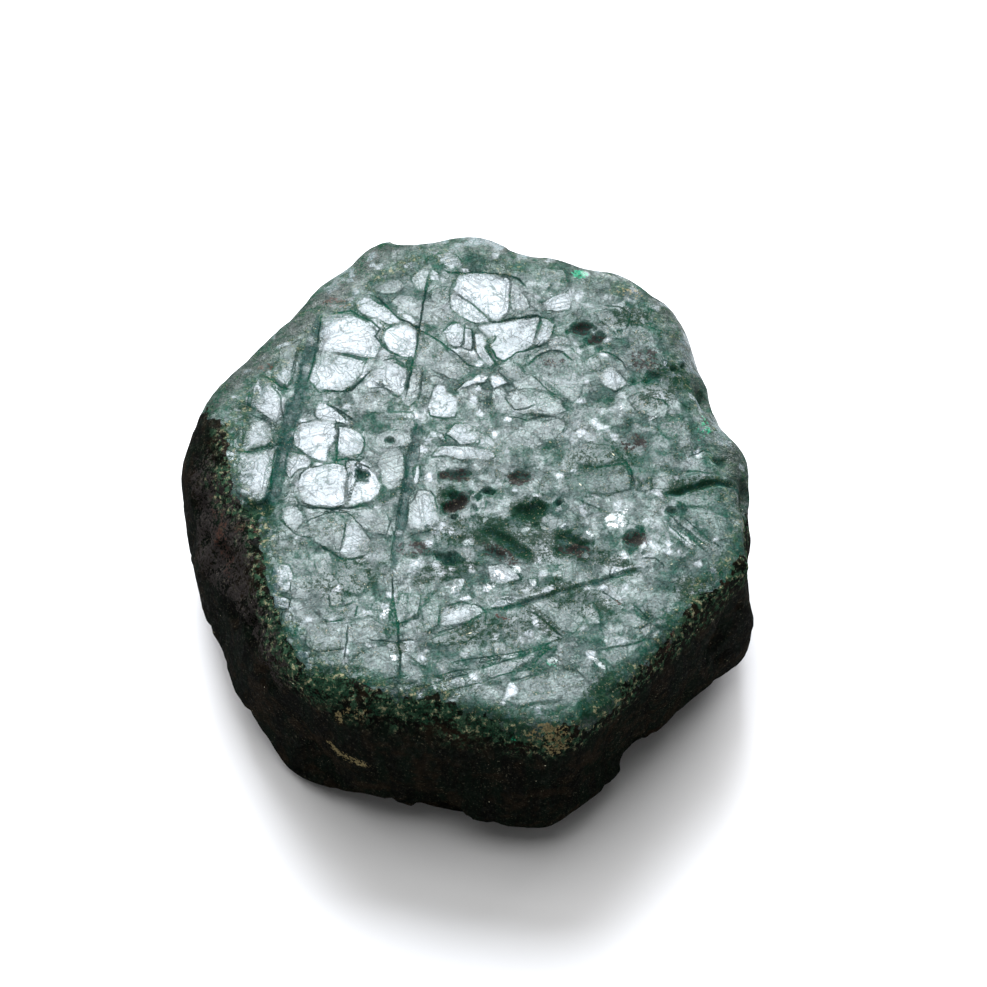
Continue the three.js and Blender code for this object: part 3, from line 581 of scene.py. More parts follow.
    Plate(0.6, ((-5.05, 2.95), (-4.55, 3.05), (-4.2, 2.5), (-4.1, 1.8), (-4.2, 1), (-4.4, 0.5),
        (-5, 0.2), (-5.3, 0.7), (-5.35, 1.5), (-5.6, 1.9), (-5.3, 2.6))),
    Plate(0.7, ((-5.6, 4), (-5, 4.3), (-4.3, 4.25), (-3.8, 3.9), (-3.7, 3.4), (-4.2, 3.2), (-4.8, 3.1),
        (-5.4, 3.2), (-5.7, 3.6))),
    Plate(0.7, ((-5.1, 5.4), (-4.4, 5.55), (-3.7, 5.5), (-3.6, 5.3), (-4.3, 5.2), (-4.9, 5.15))),
    Plate(0.5, ((-4.9, 4.9), (-4.2, 5.1), (-3.6, 5), (-3.5, 4.5), (-4.2, 4.4), (-4.8, 4.5))),
    Plate(0.55, ((-6.3, 6.9), (-5.6, 6.9), (-5.1, 6.2), (-5.2, 5.6), (-6, 5.6), (-6.6, 6.1))),
    Plate(0.8, ((-3.25, 0.05), (-2.65, 0.05), (-2.35, -0.4), (-2.3, -1.05), (-2.3, -1.85), (-2.5, -2.4),
        (-3.05, -2.55), (-3.7, -2.4), (-3.85, -1.7), (-3.7, -1.05), (-3.35, -0.4))),
    Plate(0.75, ((-0.1, -0.05), (0.2, -0.2), (0.6, -0.7), (0.5, -1.2), (0, -1.5), (-0.6, -1.9),
        (-1.1, -1.8), (-0.6, -1.45), (-0.1, -1), (-0.2, -0.5))),
    Plate(0.9, ((-3.5, 1.6), (-3.3, 1.8), (-3.2, 1.3), (-3.35, 0.7), (-3.5, 0.6))),
    Plate(0.55, ((3.1, 4.9), (4, 4.9), (4.9, 5.1), (5.2, 4.8), (5, 4.2), (4.5, 3.7), (3.9, 3.6),
        (3.7, 4.2))),
    Plate(0.6, ((2.3, 4.2), (2.8, 4.3), (3.4, 3.9), (3.9, 3.4), (3.4, 3.1), (2.8, 3.3), (2.2, 3.2),
        (1.7, 3.5))),
    Plate(0.75, ((-11.1, -1.2), (-10.55, -0.95), (-10.25, -1.1), (-10, -1.6), (-10, -2.15),
        (-10.3, -2.5), (-10.8, -2.3), (-11.1, -1.8))),
    Plate(0.8, ((-10.6, -0.45), (-10.3, -0.5), (-10.2, -0.8), (-10.7, -0.8))),
    Plate(0.5, ((-9.5, -2.9), (-9.05, -2.3), (-8.4, -1.8), (-7.9, -1.6), (-7.6, -1.85), (-7.5, -2.6),
        (-7.6, -3.4), (-7.75, -4.1), (-8.4, -3.9), (-8.95, -3.5), (-9.35, -3.2))),
    Plate(0.75, ((-7.35, -2), (-6.9, -2.2), (-6.4, -2.8), (-6.1, -3.3), (-6.3, -3.9), (-6.8, -4.4),
        (-7.3, -4.4), (-7.6, -4.1), (-7.45, -3.4), (-7.35, -2.7))),
    Plate(0.55, ((-6.8, -1.5), (-6.1, -1.2), (-5.3, -1.3), (-5, -2), (-5.2, -2.9), (-5.8, -2.8),
        (-6.3, -2.2))),
    Plate(0.95, ((-11.7, -3), (-11.4, -2.8), (-11.2, -3), (-11.5, -3.3), (-11.8, -3.3))),
    Plate(0.95, ((-11.5, -5.2), (-11.1, -5), (-10.6, -5.1), (-10.5, -5.8), (-10.55, -6.5), (-10.8, -6.9),
        (-11.4, -6.8), (-11.65, -6.1))),
    Plate(1.0, ((-11.45, -7), (-11, -7.3), (-10.6, -7.5), (-10.7, -8), (-11.1, -7.9), (-11.4, -7.8))),
    Plate(0.8, ((-10.95, -8.3), (-10.6, -8.3), (-10.5, -9), (-10.3, -9.6), (-10.7, -9.3), (-11, -8.9))),
    Plate(0.8, ((-10.1, -10.8), (-9.5, -10.9), (-9.4, -11.15), (-9.9, -11.3))),
    Plate(0.8, ((-9.6, -11.6), (-9.2, -11.8), (-9.3, -12.1), (-9.7, -11.9))),
    Plate(0.65, ((-9.1, -4.4), (-8.4, -4.2), (-8.2, -4.8), (-8.3, -5.6), (-8.9, -5.6), (-9.1, -5))),
    Plate(0.55, ((-10.3, -5.9), (-9.5, -5.8), (-9.4, -6.6), (-9.6, -7.3), (-10.3, -7.3), (-10.4, -6.6))),
    Plate(0.5, ((-8.3, -6.9), (-7.7, -7), (-7.6, -7.6), (-8.2, -7.8))),
    Plate(0.45, ((-7.8, -4.9), (-7, -4.8), (-6.2, -5.2), (-6, -6.2), (-6.6, -7), (-7.5, -6.7),
        (-7.9, -5.8))),
    Plate(0.5, ((-9, -9), (-8, -9), (-7.35, -9.2), (-7.35, -10), (-7.45, -10.6), (-8, -10.75),
        (-8.9, -10.8), (-9.5, -10.4), (-9.5, -9.6))),
    Plate(0.4, ((-9, -8.1), (-7.7, -8.1), (-7.1, -7.9), (-7.4, -8.45), (-8.3, -8.5))),
    Plate(0.4, ((-8.9, -11), (-7.6, -10.9), (-7.6, -11.8), (-8.4, -12), (-9, -11.6))),
    Plate(0.4, ((-6.9, -9), (-6, -8.6), (-5.2, -9.2), (-5, -10), (-5.8, -10.3), (-6.8, -10.2))),
    Plate(0.75, ((-1.85, -8.4), (-1.2, -8), (-0.4, -7.75), (0.1, -7.8), (0.4, -8.3), (-0.2, -8.7),
        (-1.1, -9), (-1.8, -9.1))),
    Plate(0.5, ((-3, -8), (-2.55, -7.6), (-2, -7.5), (-2, -8.4), (-2.1, -9.1), (-2.8, -9.5))),
    Plate(0.6, ((-4.2, -7), (-3.9, -7), (-3.95, -8.2), (-4.2, -8.8), (-4.5, -8.6))),
    Plate(0.6, ((-3.7, -7), (-3.2, -7.1), (-3.3, -8.3), (-3.8, -8.6))),
    Plate(0.85, ((-1.1, -6), (-0.6, -6), (-0.7, -6.5), (-0.9, -6.9), (-1.35, -7), (-1.25, -6.4))),
    Plate(0.7, ((0.6, -12), (1.4, -11.75), (2.4, -11.5), (3.3, -11.2), (2.9, -11.6), (2.4, -11.9),
        (1.6, -12.4), (0.9, -12.5))),
    Plate(0.8, ((-2.3, -13.2), (-1.5, -12.9), (-0.6, -12.75), (-0.6, -13.1), (-1.6, -13.5), (-2.3, -13.6))),
    Plate(1.0, ((-4.2, -13.7), (-3.5, -13.5), (-2.9, -13.3), (-2.9, -13.8), (-3.4, -14), (-4, -13.9))),
    Plate(0.85, ((-3.9, -13.2), (-3.2, -13), (-2.9, -13), (-3.3, -13.3), (-3.8, -13.4))),
    Plate(0.8, ((-5.9, -13.2), (-5, -13.1), (-4.4, -13.4), (-4.4, -13.7), (-5.2, -13.5), (-5.9, -13.4))),
    Plate(0.95, ((2, -13), (2.15, -13), (2.5, -13.4), (2.3, -13.7), (1.9, -13.9), (1.8, -13.7))),
    Plate(0.9, ((1.4, -14.2), (1.75, -14), (1.7, -14.5), (1.4, -14.4))),
    Plate(0.8, ((3.1, -15.3), (3.9, -15.2), (4.8, -15), (4.7, -15.4), (4.1, -15.8), (3.3, -15.8))),
    Plate(0.85, ((0.8, -5.1), (1.6, -5), (2.3, -5.4), (2.6, -5.9), (1.7, -6.2), (1, -6.1))),
    Plate(0.85, ((3.1, -6), (3.5, -6), (3.5, -6.5), (3.3, -6.6))),
    Plate(0.9, ((3.2, -7.2), (3.8, -6.8), (4.4, -6.4), (4.6, -6.6), (4.2, -6.9), (3.4, -7.3))),
    Plate(0.85, ((0.9, -7.9), (1.3, -7.5), (2.2, -7.4), (2.4, -7.5), (1.6, -7.8))),
    Plate(0.7, ((1.5, -7.2), (2.3, -7.15), (2.9, -7.3), (2.2, -7.35))),
    Plate(0.75, ((3.7, -3.9), (4, -3.6), (4.8, -4.2), (5.3, -4.9), (4.6, -5), (4, -4.5))),
    Plate(0.9, ((7.9, -5.1), (8.6, -5.2), (9.7, -5.05), (9.8, -5.3), (9, -5.45), (8.1, -5.8), (7.8, -5.7))),
    Plate(0.95, ((10.9, -2), (11.5, -2.6), (12.3, -3.5), (12.6, -3.9), (12.3, -3.8), (11.5, -3),
        (11, -2.3))),
    Plate(0.5, ((11.9, -2), (12.7, -2.9), (13.6, -3.7), (14, -4.1), (13.4, -3.9), (12.6, -3.2))),
    Plate(0.45, ((9.2, 11.3), (9.7, 11.8), (10.4, 11.5), (10.9, 10.9), (10.6, 10.3), (9.7, 10.4),
        (9.1, 10.8))),
    Plate(0.5, ((7.1, 12.7), (7.8, 12.9), (8.3, 12.3), (8.6, 11.6), (8.4, 11.1), (8, 11.6), (7.4, 12.2))),
    Plate(0.8, ((7.2, 8.2), (7.6, 8.6), (8, 8.7), (8.5, 8.2), (8.8, 7.6), (8.2, 7.2), (7.6, 7.5))),
    Plate(0.7, ((6.7, 9.4), (7.1, 9.6), (7.3, 9), (6.9, 8.7), (6.6, 9))),
    Plate(0.4, ((7.2, 9.6), (8, 9.3), (8.6, 8.9), (8.9, 8.3), (8.5, 8.4), (7.9, 8.9), (7.3, 9.2))),
    Plate(0.5, ((9, 6.6), (9.6, 6.9), (10.2, 6.5), (10.9, 6.5), (11.3, 5.9), (11, 5.3), (10.2, 5.4),
        (9.5, 5.7))),
    Plate(0.4, ((10.9, 4.8), (11.7, 4.9), (12.4, 4.8), (12.6, 4.2), (12, 3.7), (11.2, 3.9), (10.8, 4.4))),
    Plate(0.3, ((5.2, 1.2), (6.4, 1.4), (7.6, 1.6), (8.7, 1.8), (8.9, 1), (8.9, 0.2), (7.8, -0.1),
        (6.5, 0.1), (5.6, 0.5))),
    Plate(0.4, ((5.2, 3.2), (6.4, 3.4), (7.8, 3.2), (8.5, 2.4), (7.5, 2), (6.3, 2.1), (5.2, 2.3))),
    Plate(0.5, ((10.3, 0.9), (10.8, 1.3), (11.4, 1.1), (11.6, 0.6), (11, 0.3), (10.4, 0.3))),
    Plate(0.35, ((11.4, -0.3), (12.6, 0), (14, 0.3), (15, 0.3), (15.4, -0.6), (15.4, -1.4), (14.4, -1),
        (13.4, -1), (12.2, -0.9))),
    Plate(0.35, ((12.4, -1.3), (13.6, -1.4), (14.6, -1.8), (15, -2.4), (14.8, -3.4), (14, -3.2),
        (13.2, -2.4))),
    Plate(0.6, ((6.2, -7.8), (6.7, -7.7), (7, -8.4), (7.1, -9), (6.6, -9), (6.3, -8.4))),
    Plate(0.42, ((4.3, -8.2), (5.2, -7.7), (6, -7.6), (6.1, -8.8), (5.6, -9.6), (5, -9.4), (4.5, -8.9))),
    Plate(0.5, ((8.4, -8.6), (9, -8.4), (9.9, -9), (9.2, -9.3), (8.6, -9.1))),
    Plate(0.7, ((9.5, -9.5), (9.9, -9.1), (10.7, -9.5), (10.4, -9.9), (9.8, -9.9))),
    Plate(0.7, ((10.4, -8.9), (10.9, -8.4), (10.9, -9), (10.6, -9.1))),
    Plate(0.7, ((7.4, -10.2), (8.2, -10), (9.1, -10.1), (8.5, -10.4), (7.6, -10.6))),
    Plate(0.4, ((7.2, -11), (8, -10.9), (9.2, -10.6), (9.3, -11.2), (8.6, -11.8), (7.9, -11.9))),
    Plate(0.4, ((9.9, -7), (11.2, -7), (12.2, -7), (12, -7.7), (11.1, -8.4), (10.3, -8.6), (9.9, -7.9))),
    Plate(0.42, ((2.6, -12.9), (3.6, -12.5), (4.6, -12.2), (5.8, -12.2), (6.4, -13), (6.3, -13.8),
        (5, -14), (3.6, -14.2), (2.6, -14.4), (2.6, -13.6))),
    Plate(0.45, ((0.3, -13.3), (1.4, -13.2), (1.7, -13.6), (1.2, -14.4), (0.6, -14.6), (0.1, -14))),
    Plate(0.4, ((-5.9, -10.8), (-5, -10.6), (-4.5, -11.2), (-4.5, -12.6), (-5.4, -12.7), (-6.6, -12.4),
        (-7, -11.6))),
    Plate(0.45, ((-3.9, -11.6), (-3.2, -12.1), (-2.9, -12.6), (-3.6, -12.8), (-4, -12.6))),
    Plate(0.45, ((-2.6, -10.2), (-1.5, -9.7), (-0.3, -9.3), (0.2, -9.6), (-0.4, -10.1), (-1.7, -10.4))),
)

# The pits of the top face
PITS = (
    Pit(-1.0, -0.8, 0.95, 0.5, 0.5, 40), Pit(3.2, -1.3, 0.85, 0.7, 0.4, 0),
    Pit(-1.4, -4.7, 0.6, 0.4, 0.32, -20), Pit(6.3, 11.6, 0.55, 0.38, 0.3, 15),
    Pit(7.2, 10.8, 0.5, 0.4, 0.25, 0), Pit(-4.95, 3.6, 0.3, 0.25, 0.2, 0),
    Pit(-6.5, 1.2, 0.3, 0.5, 0.22, 10), Pit(10.5, 8.2, 0.45, 0.35, 0.25, 0),
    Pit(11.6, 8.8, 0.35, 0.3, 0.25, 0), Pit(12.2, 9.2, 0.2, 0.2, 0.2, 0),
    Pit(11.4, -1.3, 0.35, 0.28, 0.25, 0), Pit(14.2, 2.2, 0.35, 0.3, 0.25, 0),
    Pit(9.2, -3.2, 0.7, 0.45, 0.28, 60), Pit(-12.8, -1.2, 0.8, 0.6, 0.3, 0),
    Pit(5.8, -4.0, 0.8, 0.4, 0.25, -15), Pit(-1.0, 1.2, 0.9, 0.4, 0.18, 0),
    Pit(2.6, 1.0, 0.7, 0.45, 0.2, 0), Pit(1.3, -4.3, 0.8, 0.4, 0.2, -30),
)

# The chips round the worn edge and down the sides
CHIPS = (
    Chip(178, 10.3, 0.8, 0.45), Chip(186, 9.7, 0.6, 0.4), Chip(193, 10.6, 0.9, 0.5),
    Chip(204, 9.3, 1.1, 0.5), Chip(214, 10.7, 0.8, 0.4), Chip(221, 8.8, 1.0, 0.4),
    Chip(28, 11.6, 1.0, 0.6), Chip(2, 11.4, 0.9, 0.55), Chip(81, 11.6, 1.1, 0.5),
    Chip(103, 11.8, 1.0, 0.5), Chip(122, 8.9, 1.4, 0.5), Chip(147, 5.2, 1.8, 0.45),
    Chip(236, 3.6, 1.7, 0.5), Chip(262, 2.2, 1.9, 0.55), Chip(284, 6.3, 1.3, 0.4),
    Chip(309, 3.1, 2.1, 0.6), Chip(333, 7.4, 1.5, 0.45), Chip(12, 4.1, 2.0, 0.55), Chip(46, 7.6, 1.6, 0.5),
    Chip(68, 2.4, 1.9, 0.6), Chip(94, 5.5, 1.5, 0.45), Chip(131, 2.3, 1.8, 0.5), Chip(170, 2.6, 1.7, 0.55),
    Chip(198, 5.4, 1.6, 0.4),
)

# The coloured patches of each kind
PATCHES: dict[Tint, tuple[Patch, ...]] = {
    Tint.EMERALD: (
        Patch(6.2, 15.7, 0.45, 0.35, 0, 1.0), Patch(13.4, 4.9, 0.3, 0.8, 15, 0.4),
        Patch(4.4, -11.6, 0.35, 0.3, 0, 0.6), Patch(2.4, -16.2, 0.5, 0.3, 0, 0.3),
        Patch(9.2, 14.4, 1.2, 0.5, -15, 0.15), Patch(13.2, 3.9, 0.5, 1.2, 0, 0.2),
    ),
    Tint.DEEP: (
        Patch(-12.8, -1.2, 1.1, 0.6, 0, 0.9), Patch(3.2, -1.3, 1.1, 0.9, 0, 0.9),
        Patch(1.5, -3.0, 1.9, 0.7, -35, 1.0), Patch(5.4, -3.2, 1.2, 0.5, -20, 0.9),
        Patch(4.0, -9.0, 1.6, 0.5, -50, 0.6), Patch(12.3, -6.6, 0.9, 0.9, 0, 0.8),
        Patch(-8.6, -12.9, 1.9, 0.9, 0, 1.0, 0.2, 1.1), Patch(-11.4, -9.6, 0.6, 2.2, 25, 0.9, 0.2, 1.1),
        Patch(1.2, -15.9, 3.4, 0.8, -14, 0.9, 0.2, 1.1), Patch(-4.3, -10.6, 0.5, 0.4, 0, 0.8),
        Patch(9.0, 12.4, 1.4, 0.7, 0, 0.6), Patch(11.6, 8.2, 1.0, 1.2, 0, 0.7),
        Patch(-2.6, -5.8, 1.0, 0.4, 20, 0.6), Patch(12.6, 0.5, 1.6, 0.5, 15, 0.9),
        Patch(-1.6, -0.3, 0.6, 0.9, 0, 0.7), Patch(8.0, 0.0, 0.7, 0.5, 0, 0.3),
        Patch(-3.6, -14.6, 3.0, 0.6, -5, 0.9, 0.2, 1.1), Patch(7.2, -13.6, 1.6, 0.8, 50, 0.8, 0.2, 1.1),
        Patch(2.2, -3.2, 5.0, 1.5, -8, 0.45), Patch(5.5, -7.2, 3.5, 1.2, -20, 0.35),
        Patch(-7.6, -6.0, 3.0, 1.6, 30, 0.30), Patch(7.5, 2.5, 3.0, 1.5, 10, 0.30),
        Patch(1.5, -3.6, 3.2, 0.8, -15, 0.75), Patch(5.6, -4.1, 2.6, 0.7, -12, 0.7),
        Patch(-1.6, -5.4, 1.8, 0.7, 10, 0.6), Patch(1.0, -9.4, 3.4, 1.0, 15, 0.4),
        Patch(8.0, -4.8, 2.0, 0.5, -30, 0.55), Patch(10.8, 7.0, 1.6, 0.9, 30, 0.5),
    ),
    # Pale fracture chips, partly painted glints: small light patches where the face shows highlights
    Tint.PALE_AND_GLINT: (
        Patch(2.9, -2.6, 0.3, 0.14, 30, 0.7), Patch(4.0, -2.5, 0.22, 0.1, -20, 0.7),
        Patch(6.6, -2.9, 0.3, 0.1, -35, 0.7), Patch(0.6, -1.9, 0.25, 0.1, 60, 0.6),
        Patch(0.9, -6.4, 0.3, 0.22, 15, 0.7), Patch(2.4, -5.3, 0.3, 0.2, -30, 0.7),
        Patch(7.9, -1.7, 0.5, 0.22, 35, 0.9), Patch(8.5, -1.9, 0.45, 0.2, -50, 0.9),
        Patch(8.1, -2.3, 0.5, 0.16, -5, 0.8), Patch(8.7, -1.3, 0.2, 0.12, 60, 0.7),
        Patch(4.4, -11.5, 0.3, 0.25, 0, 0.7), Patch(7.0, -11.6, 0.6, 0.14, -50, 0.7),
        Patch(-4.6, -11.3, 0.3, 0.18, 0, 0.7), Patch(0.3, 7.95, 0.5, 0.16, 10, 0.5),
        Patch(1.3, 7.8, 0.35, 0.16, 0, 0.5), Patch(12.2, -3.2, 0.7, 0.12, -45, 0.6),
        Patch(-0.4, -3.5, 0.35, 0.25, 0, 0.7), Patch(2.1, -13.4, 0.14, 0.45, -20, 0.6),
        Patch(1.6, -14.3, 0.2, 0.2, 0, 0.6), Patch(-5.1, -8.2, 0.3, 0.2, 30, 0.7),
        Patch(-1.2, -6.5, 0.12, 0.5, -15, 0.45), Patch(1.4, -5.7, 0.5, 0.3, -20, 0.5),
        Patch(3.4, -6.3, 0.18, 0.25, 0, 0.5), Patch(-9.6, -13.5, 0.25, 0.3, 0, 0.5),
        Patch(8.5, 5.7, 0.1, 0.4, -10, 0.6), Patch(10.4, 5.2, 0.2, 0.12, 20, 0.6),
        Patch(8.2, -5.5, 0.35, 0.2, 0, 0.5),
    ),
    Tint.BROWN: (
        Patch(-14.6, -2.0, 2.0, 5.0, 12, 0.7, 1.6, 2.2), Patch(-12.0, -9.0, 1.2, 3.5, 25, 0.6, 1.4, 1.5),
        Patch(-1.0, 1.2, 1.1, 0.45, 0, 0.7), Patch(2.6, 1.0, 0.8, 0.5, 0, 0.7),
        Patch(-0.9, -0.7, 0.9, 0.5, 40, 1.0), Patch(1.5, -4.3, 1.2, 0.5, -30, 0.6),
        Patch(9.3, -3.2, 0.8, 0.5, 0, 0.7), Patch(5.8, -4.0, 1.0, 0.5, -15, 0.7),
        Patch(4.6, 9.1, 0.9, 0.5, 0, 0.3), Patch(6.3, 11.6, 0.55, 0.38, 15, 0.8),
        Patch(7.2, 10.8, 0.5, 0.4, 0, 0.7), Patch(-3.4, -3.9, 1.2, 0.6, 0, 0.4),
        Patch(9.8, 9.2, 1.1, 1.0, 0, 0.4), Patch(9.3, 3.4, 0.9, 0.7, 0, 0.5),
    ),
    Tint.RUST: (
        Patch(1.6, -8.6, 0.6, 0.14, -25, 0.7), Patch(-8.2, 13.6, 0.8, 0.6, 0, 0.30),
        Patch(-14.6, -2.2, 0.5, 3.2, 15, 0.26, 2.0, 3.0), Patch(8.2, -7.5, 0.4, 0.25, 0, 0.35),
        Patch(-13.2, -2.3, 1.0, 0.35, -20, 0.35), Patch(-12.3, 9.0, 0.5, 0.4, 0, 0.4),
        Patch(11.3, -9.8, 0.2, 0.7, -15, 0.5),
    ),
    Tint.OCHRE: (
        Patch(4.3, -16.2, 1.2, 0.6, 0, 0.75), Patch(-7.3, -14.2, 1.3, 0.3, -10, 0.4),
        Patch(-9.7, -13.6, 0.4, 0.4, 0, 0.45), Patch(9.2, 14.2, 1.0, 0.6, 0, 0.25),
        Patch(-7.6, -15.0, 1.7, 1.5, -25, 0.5, 5.4, 0.45),
    ),
}


def ellipse_radius(
    points: np.ndarray, x: float, y: float, long: float, wide: float, turn: float
) -> np.ndarray:
    """Distance from the middle of an ellipse, 1 on its edge.

    Args:
        points: positions, of which x and y are read.
        x: the ellipse's middle.
        y: the ellipse's middle.
        long: half its length.
        wide: half its width.
        turn: its turn in degrees.

    Returns:
        One value for each point.
    """
    c, s = math.cos(math.radians(turn)), math.sin(math.radians(turn))
    dx, dy = points[:, 0] - x, points[:, 1] - y
    return np.hypot((c * dx + s * dy) / long, (c * dy - s * dx) / wide)


def inside_distance(points: np.ndarray, outline: Path) -> np.ndarray:
    """Distance from points to the edge of a closed outline.

    Args:
        points: positions, of which x and y are read.
        outline: the outline's corners.

    Returns:
        One value for each point, positive inside the outline.
    """
    x, y = points[:, 0], points[:, 1]
    nearest = np.full(len(points), np.inf)
    inside = np.zeros(len(points), dtype=bool)
    for (ax, ay), (bx, by) in zip(outline, (*outline[1:], outline[0])):
        dx, dy = bx - ax, by - ay
        t = np.clip(((x - ax) * dx + (y - ay) * dy) / (dx * dx + dy * dy), 0.0, 1.0)
        nearest = np.minimum(nearest, np.hypot(x - ax - t * dx, y - ay - t * dy))
        if dy:
            inside ^= ((ay > y) != (by > y)) & (x < ax + (y - ay) * dx / dy)
    return np.where(inside, nearest, -nearest)


def near_stops(points: np.ndarray, stops: np.ndarray, reach: float) -> np.ndarray:
    """Indices of the points inside the box round some stops, with a reach added on every side."""
    low, high = stops.min(axis=0) - reach, stops.max(axis=0) + reach
    return np.flatnonzero(np.all((points[:, :2] > low) & (points[:, :2] < high), axis=1))


class Cells:
    """Seeded irregular cells over the top face, for the small facets of broken stone."""

    COUNT = 64
    SPREAD = 0.42

    def __init__(self, seed: int, size: float) -> None:
        """Rolls the cells' places and values for one seed and one cell size."""
        self.size = size
        self.rolls = np.random.default_rng(seed).uniform(-1.0, 1.0, (self.COUNT, self.COUNT, 6))

    def at(self, points: np.ndarray) -> tuple[np.ndarray, np.ndarray, np.ndarray]:
        """The cell that each point lies in.

        Args:
            points: positions, of which x and y are read.

        Returns:
            The distance to the cell's edge, the offset from its middle, and the cell's four random values.
        """
        home = np.floor(points[:, :2] / self.size).astype(int)
        first = np.full(len(points), FAR)
        second = np.full(len(points), FAR)
        offset = np.zeros((len(points), 2))
        values = np.zeros((len(points), 4))
        for step in np.ndindex(3, 3):
            cell = home + step - 1
            rolls = self.rolls[cell[:, 0] % self.COUNT, cell[:, 1] % self.COUNT]
            away = points[:, :2] - (cell + 0.5 + self.SPREAD * rolls[:, :2]) * self.size
            distance = np.hypot(*away.T)
            closer = distance < first
            second = np.where(closer, first, np.minimum(second, distance))
            first[closer] = distance[closer]
            offset[closer] = away[closer]
            values[closer] = rolls[closer, 2:]
        return (second - first) / 2, offset, values


def beside_path(points: np.ndarray, path: Path) -> tuple[np.ndarray, np.ndarray, np.ndarray]:
    """Where points lie beside a path.

    Args:
        points: positions, of which x and y are read.
        path: the path's stops.

    Returns:
        The indices of the points near the path, their distance from it, positive on its left, and their
        place along it from 0 to 1.
    """
    stops = np.array(path)
    near = near_stops(points, stops, PATH_REACH)
    lengths = np.hypot(*np.diff(stops, axis=0).T)
    starts = np.concatenate([[0.0], np.cumsum(lengths)])
    offset = np.full(len(near), FAR)
    along = np.zeros(len(near))
    for a, b, length, start in zip(stops, stops[1:], lengths, starts):
        away = points[near, :2] - a
        run = (b - a) / length
        t = np.clip(away @ run, 0.0, length)
        distance = np.hypot(*(away - t[:, None] * run).T)
        closer = distance < np.abs(offset)
        left = run[0] * away[:, 1] - run[1] * away[:, 0] >= 0.0
        offset[closer] = np.where(left, distance, -distance)[closer]
        along[closer] = (start + t)[closer] / starts[-1]
    return near, offset, along


class ThinLines:
    """The clearest thin line beside each point: how many half widths off it runs, and how dark it is."""

    NONE_NEAR = 14.0
    REACH = 8.0
    SOFTNESS = 0.5

    def __init__(self, count: int) -> None:
        """Starts with no line near any of so many points."""
        self.offset = np.full(count, self.NONE_NEAR)
        self.dark = np.zeros(count)

    def draw(self, near: np.ndarray, offset: np.ndarray, half_width: np.ndarray, dark: np.ndarray) -> None:
        """Takes a line wherever it is nearer than the lines so far, or not much farther off and darker.

        Args:
            near: indices of the points beside it.
            offset: their distance from it, positive on one side and negative on the other.
            half_width: half its width beside each of them.
            dark: how dark it is beside each of them.
        """
        offset = offset / half_width
        so_far = self.dark[near] / (self.SOFTNESS + np.abs(self.offset[near]))
        clearer = dark / (self.SOFTNESS + np.abs(offset)) > so_far
        clearer &= np.abs(offset) < self.REACH
        self.offset[near[clearer]] = offset[clearer]
        self.dark[near[clearer]] = dark[clearer]


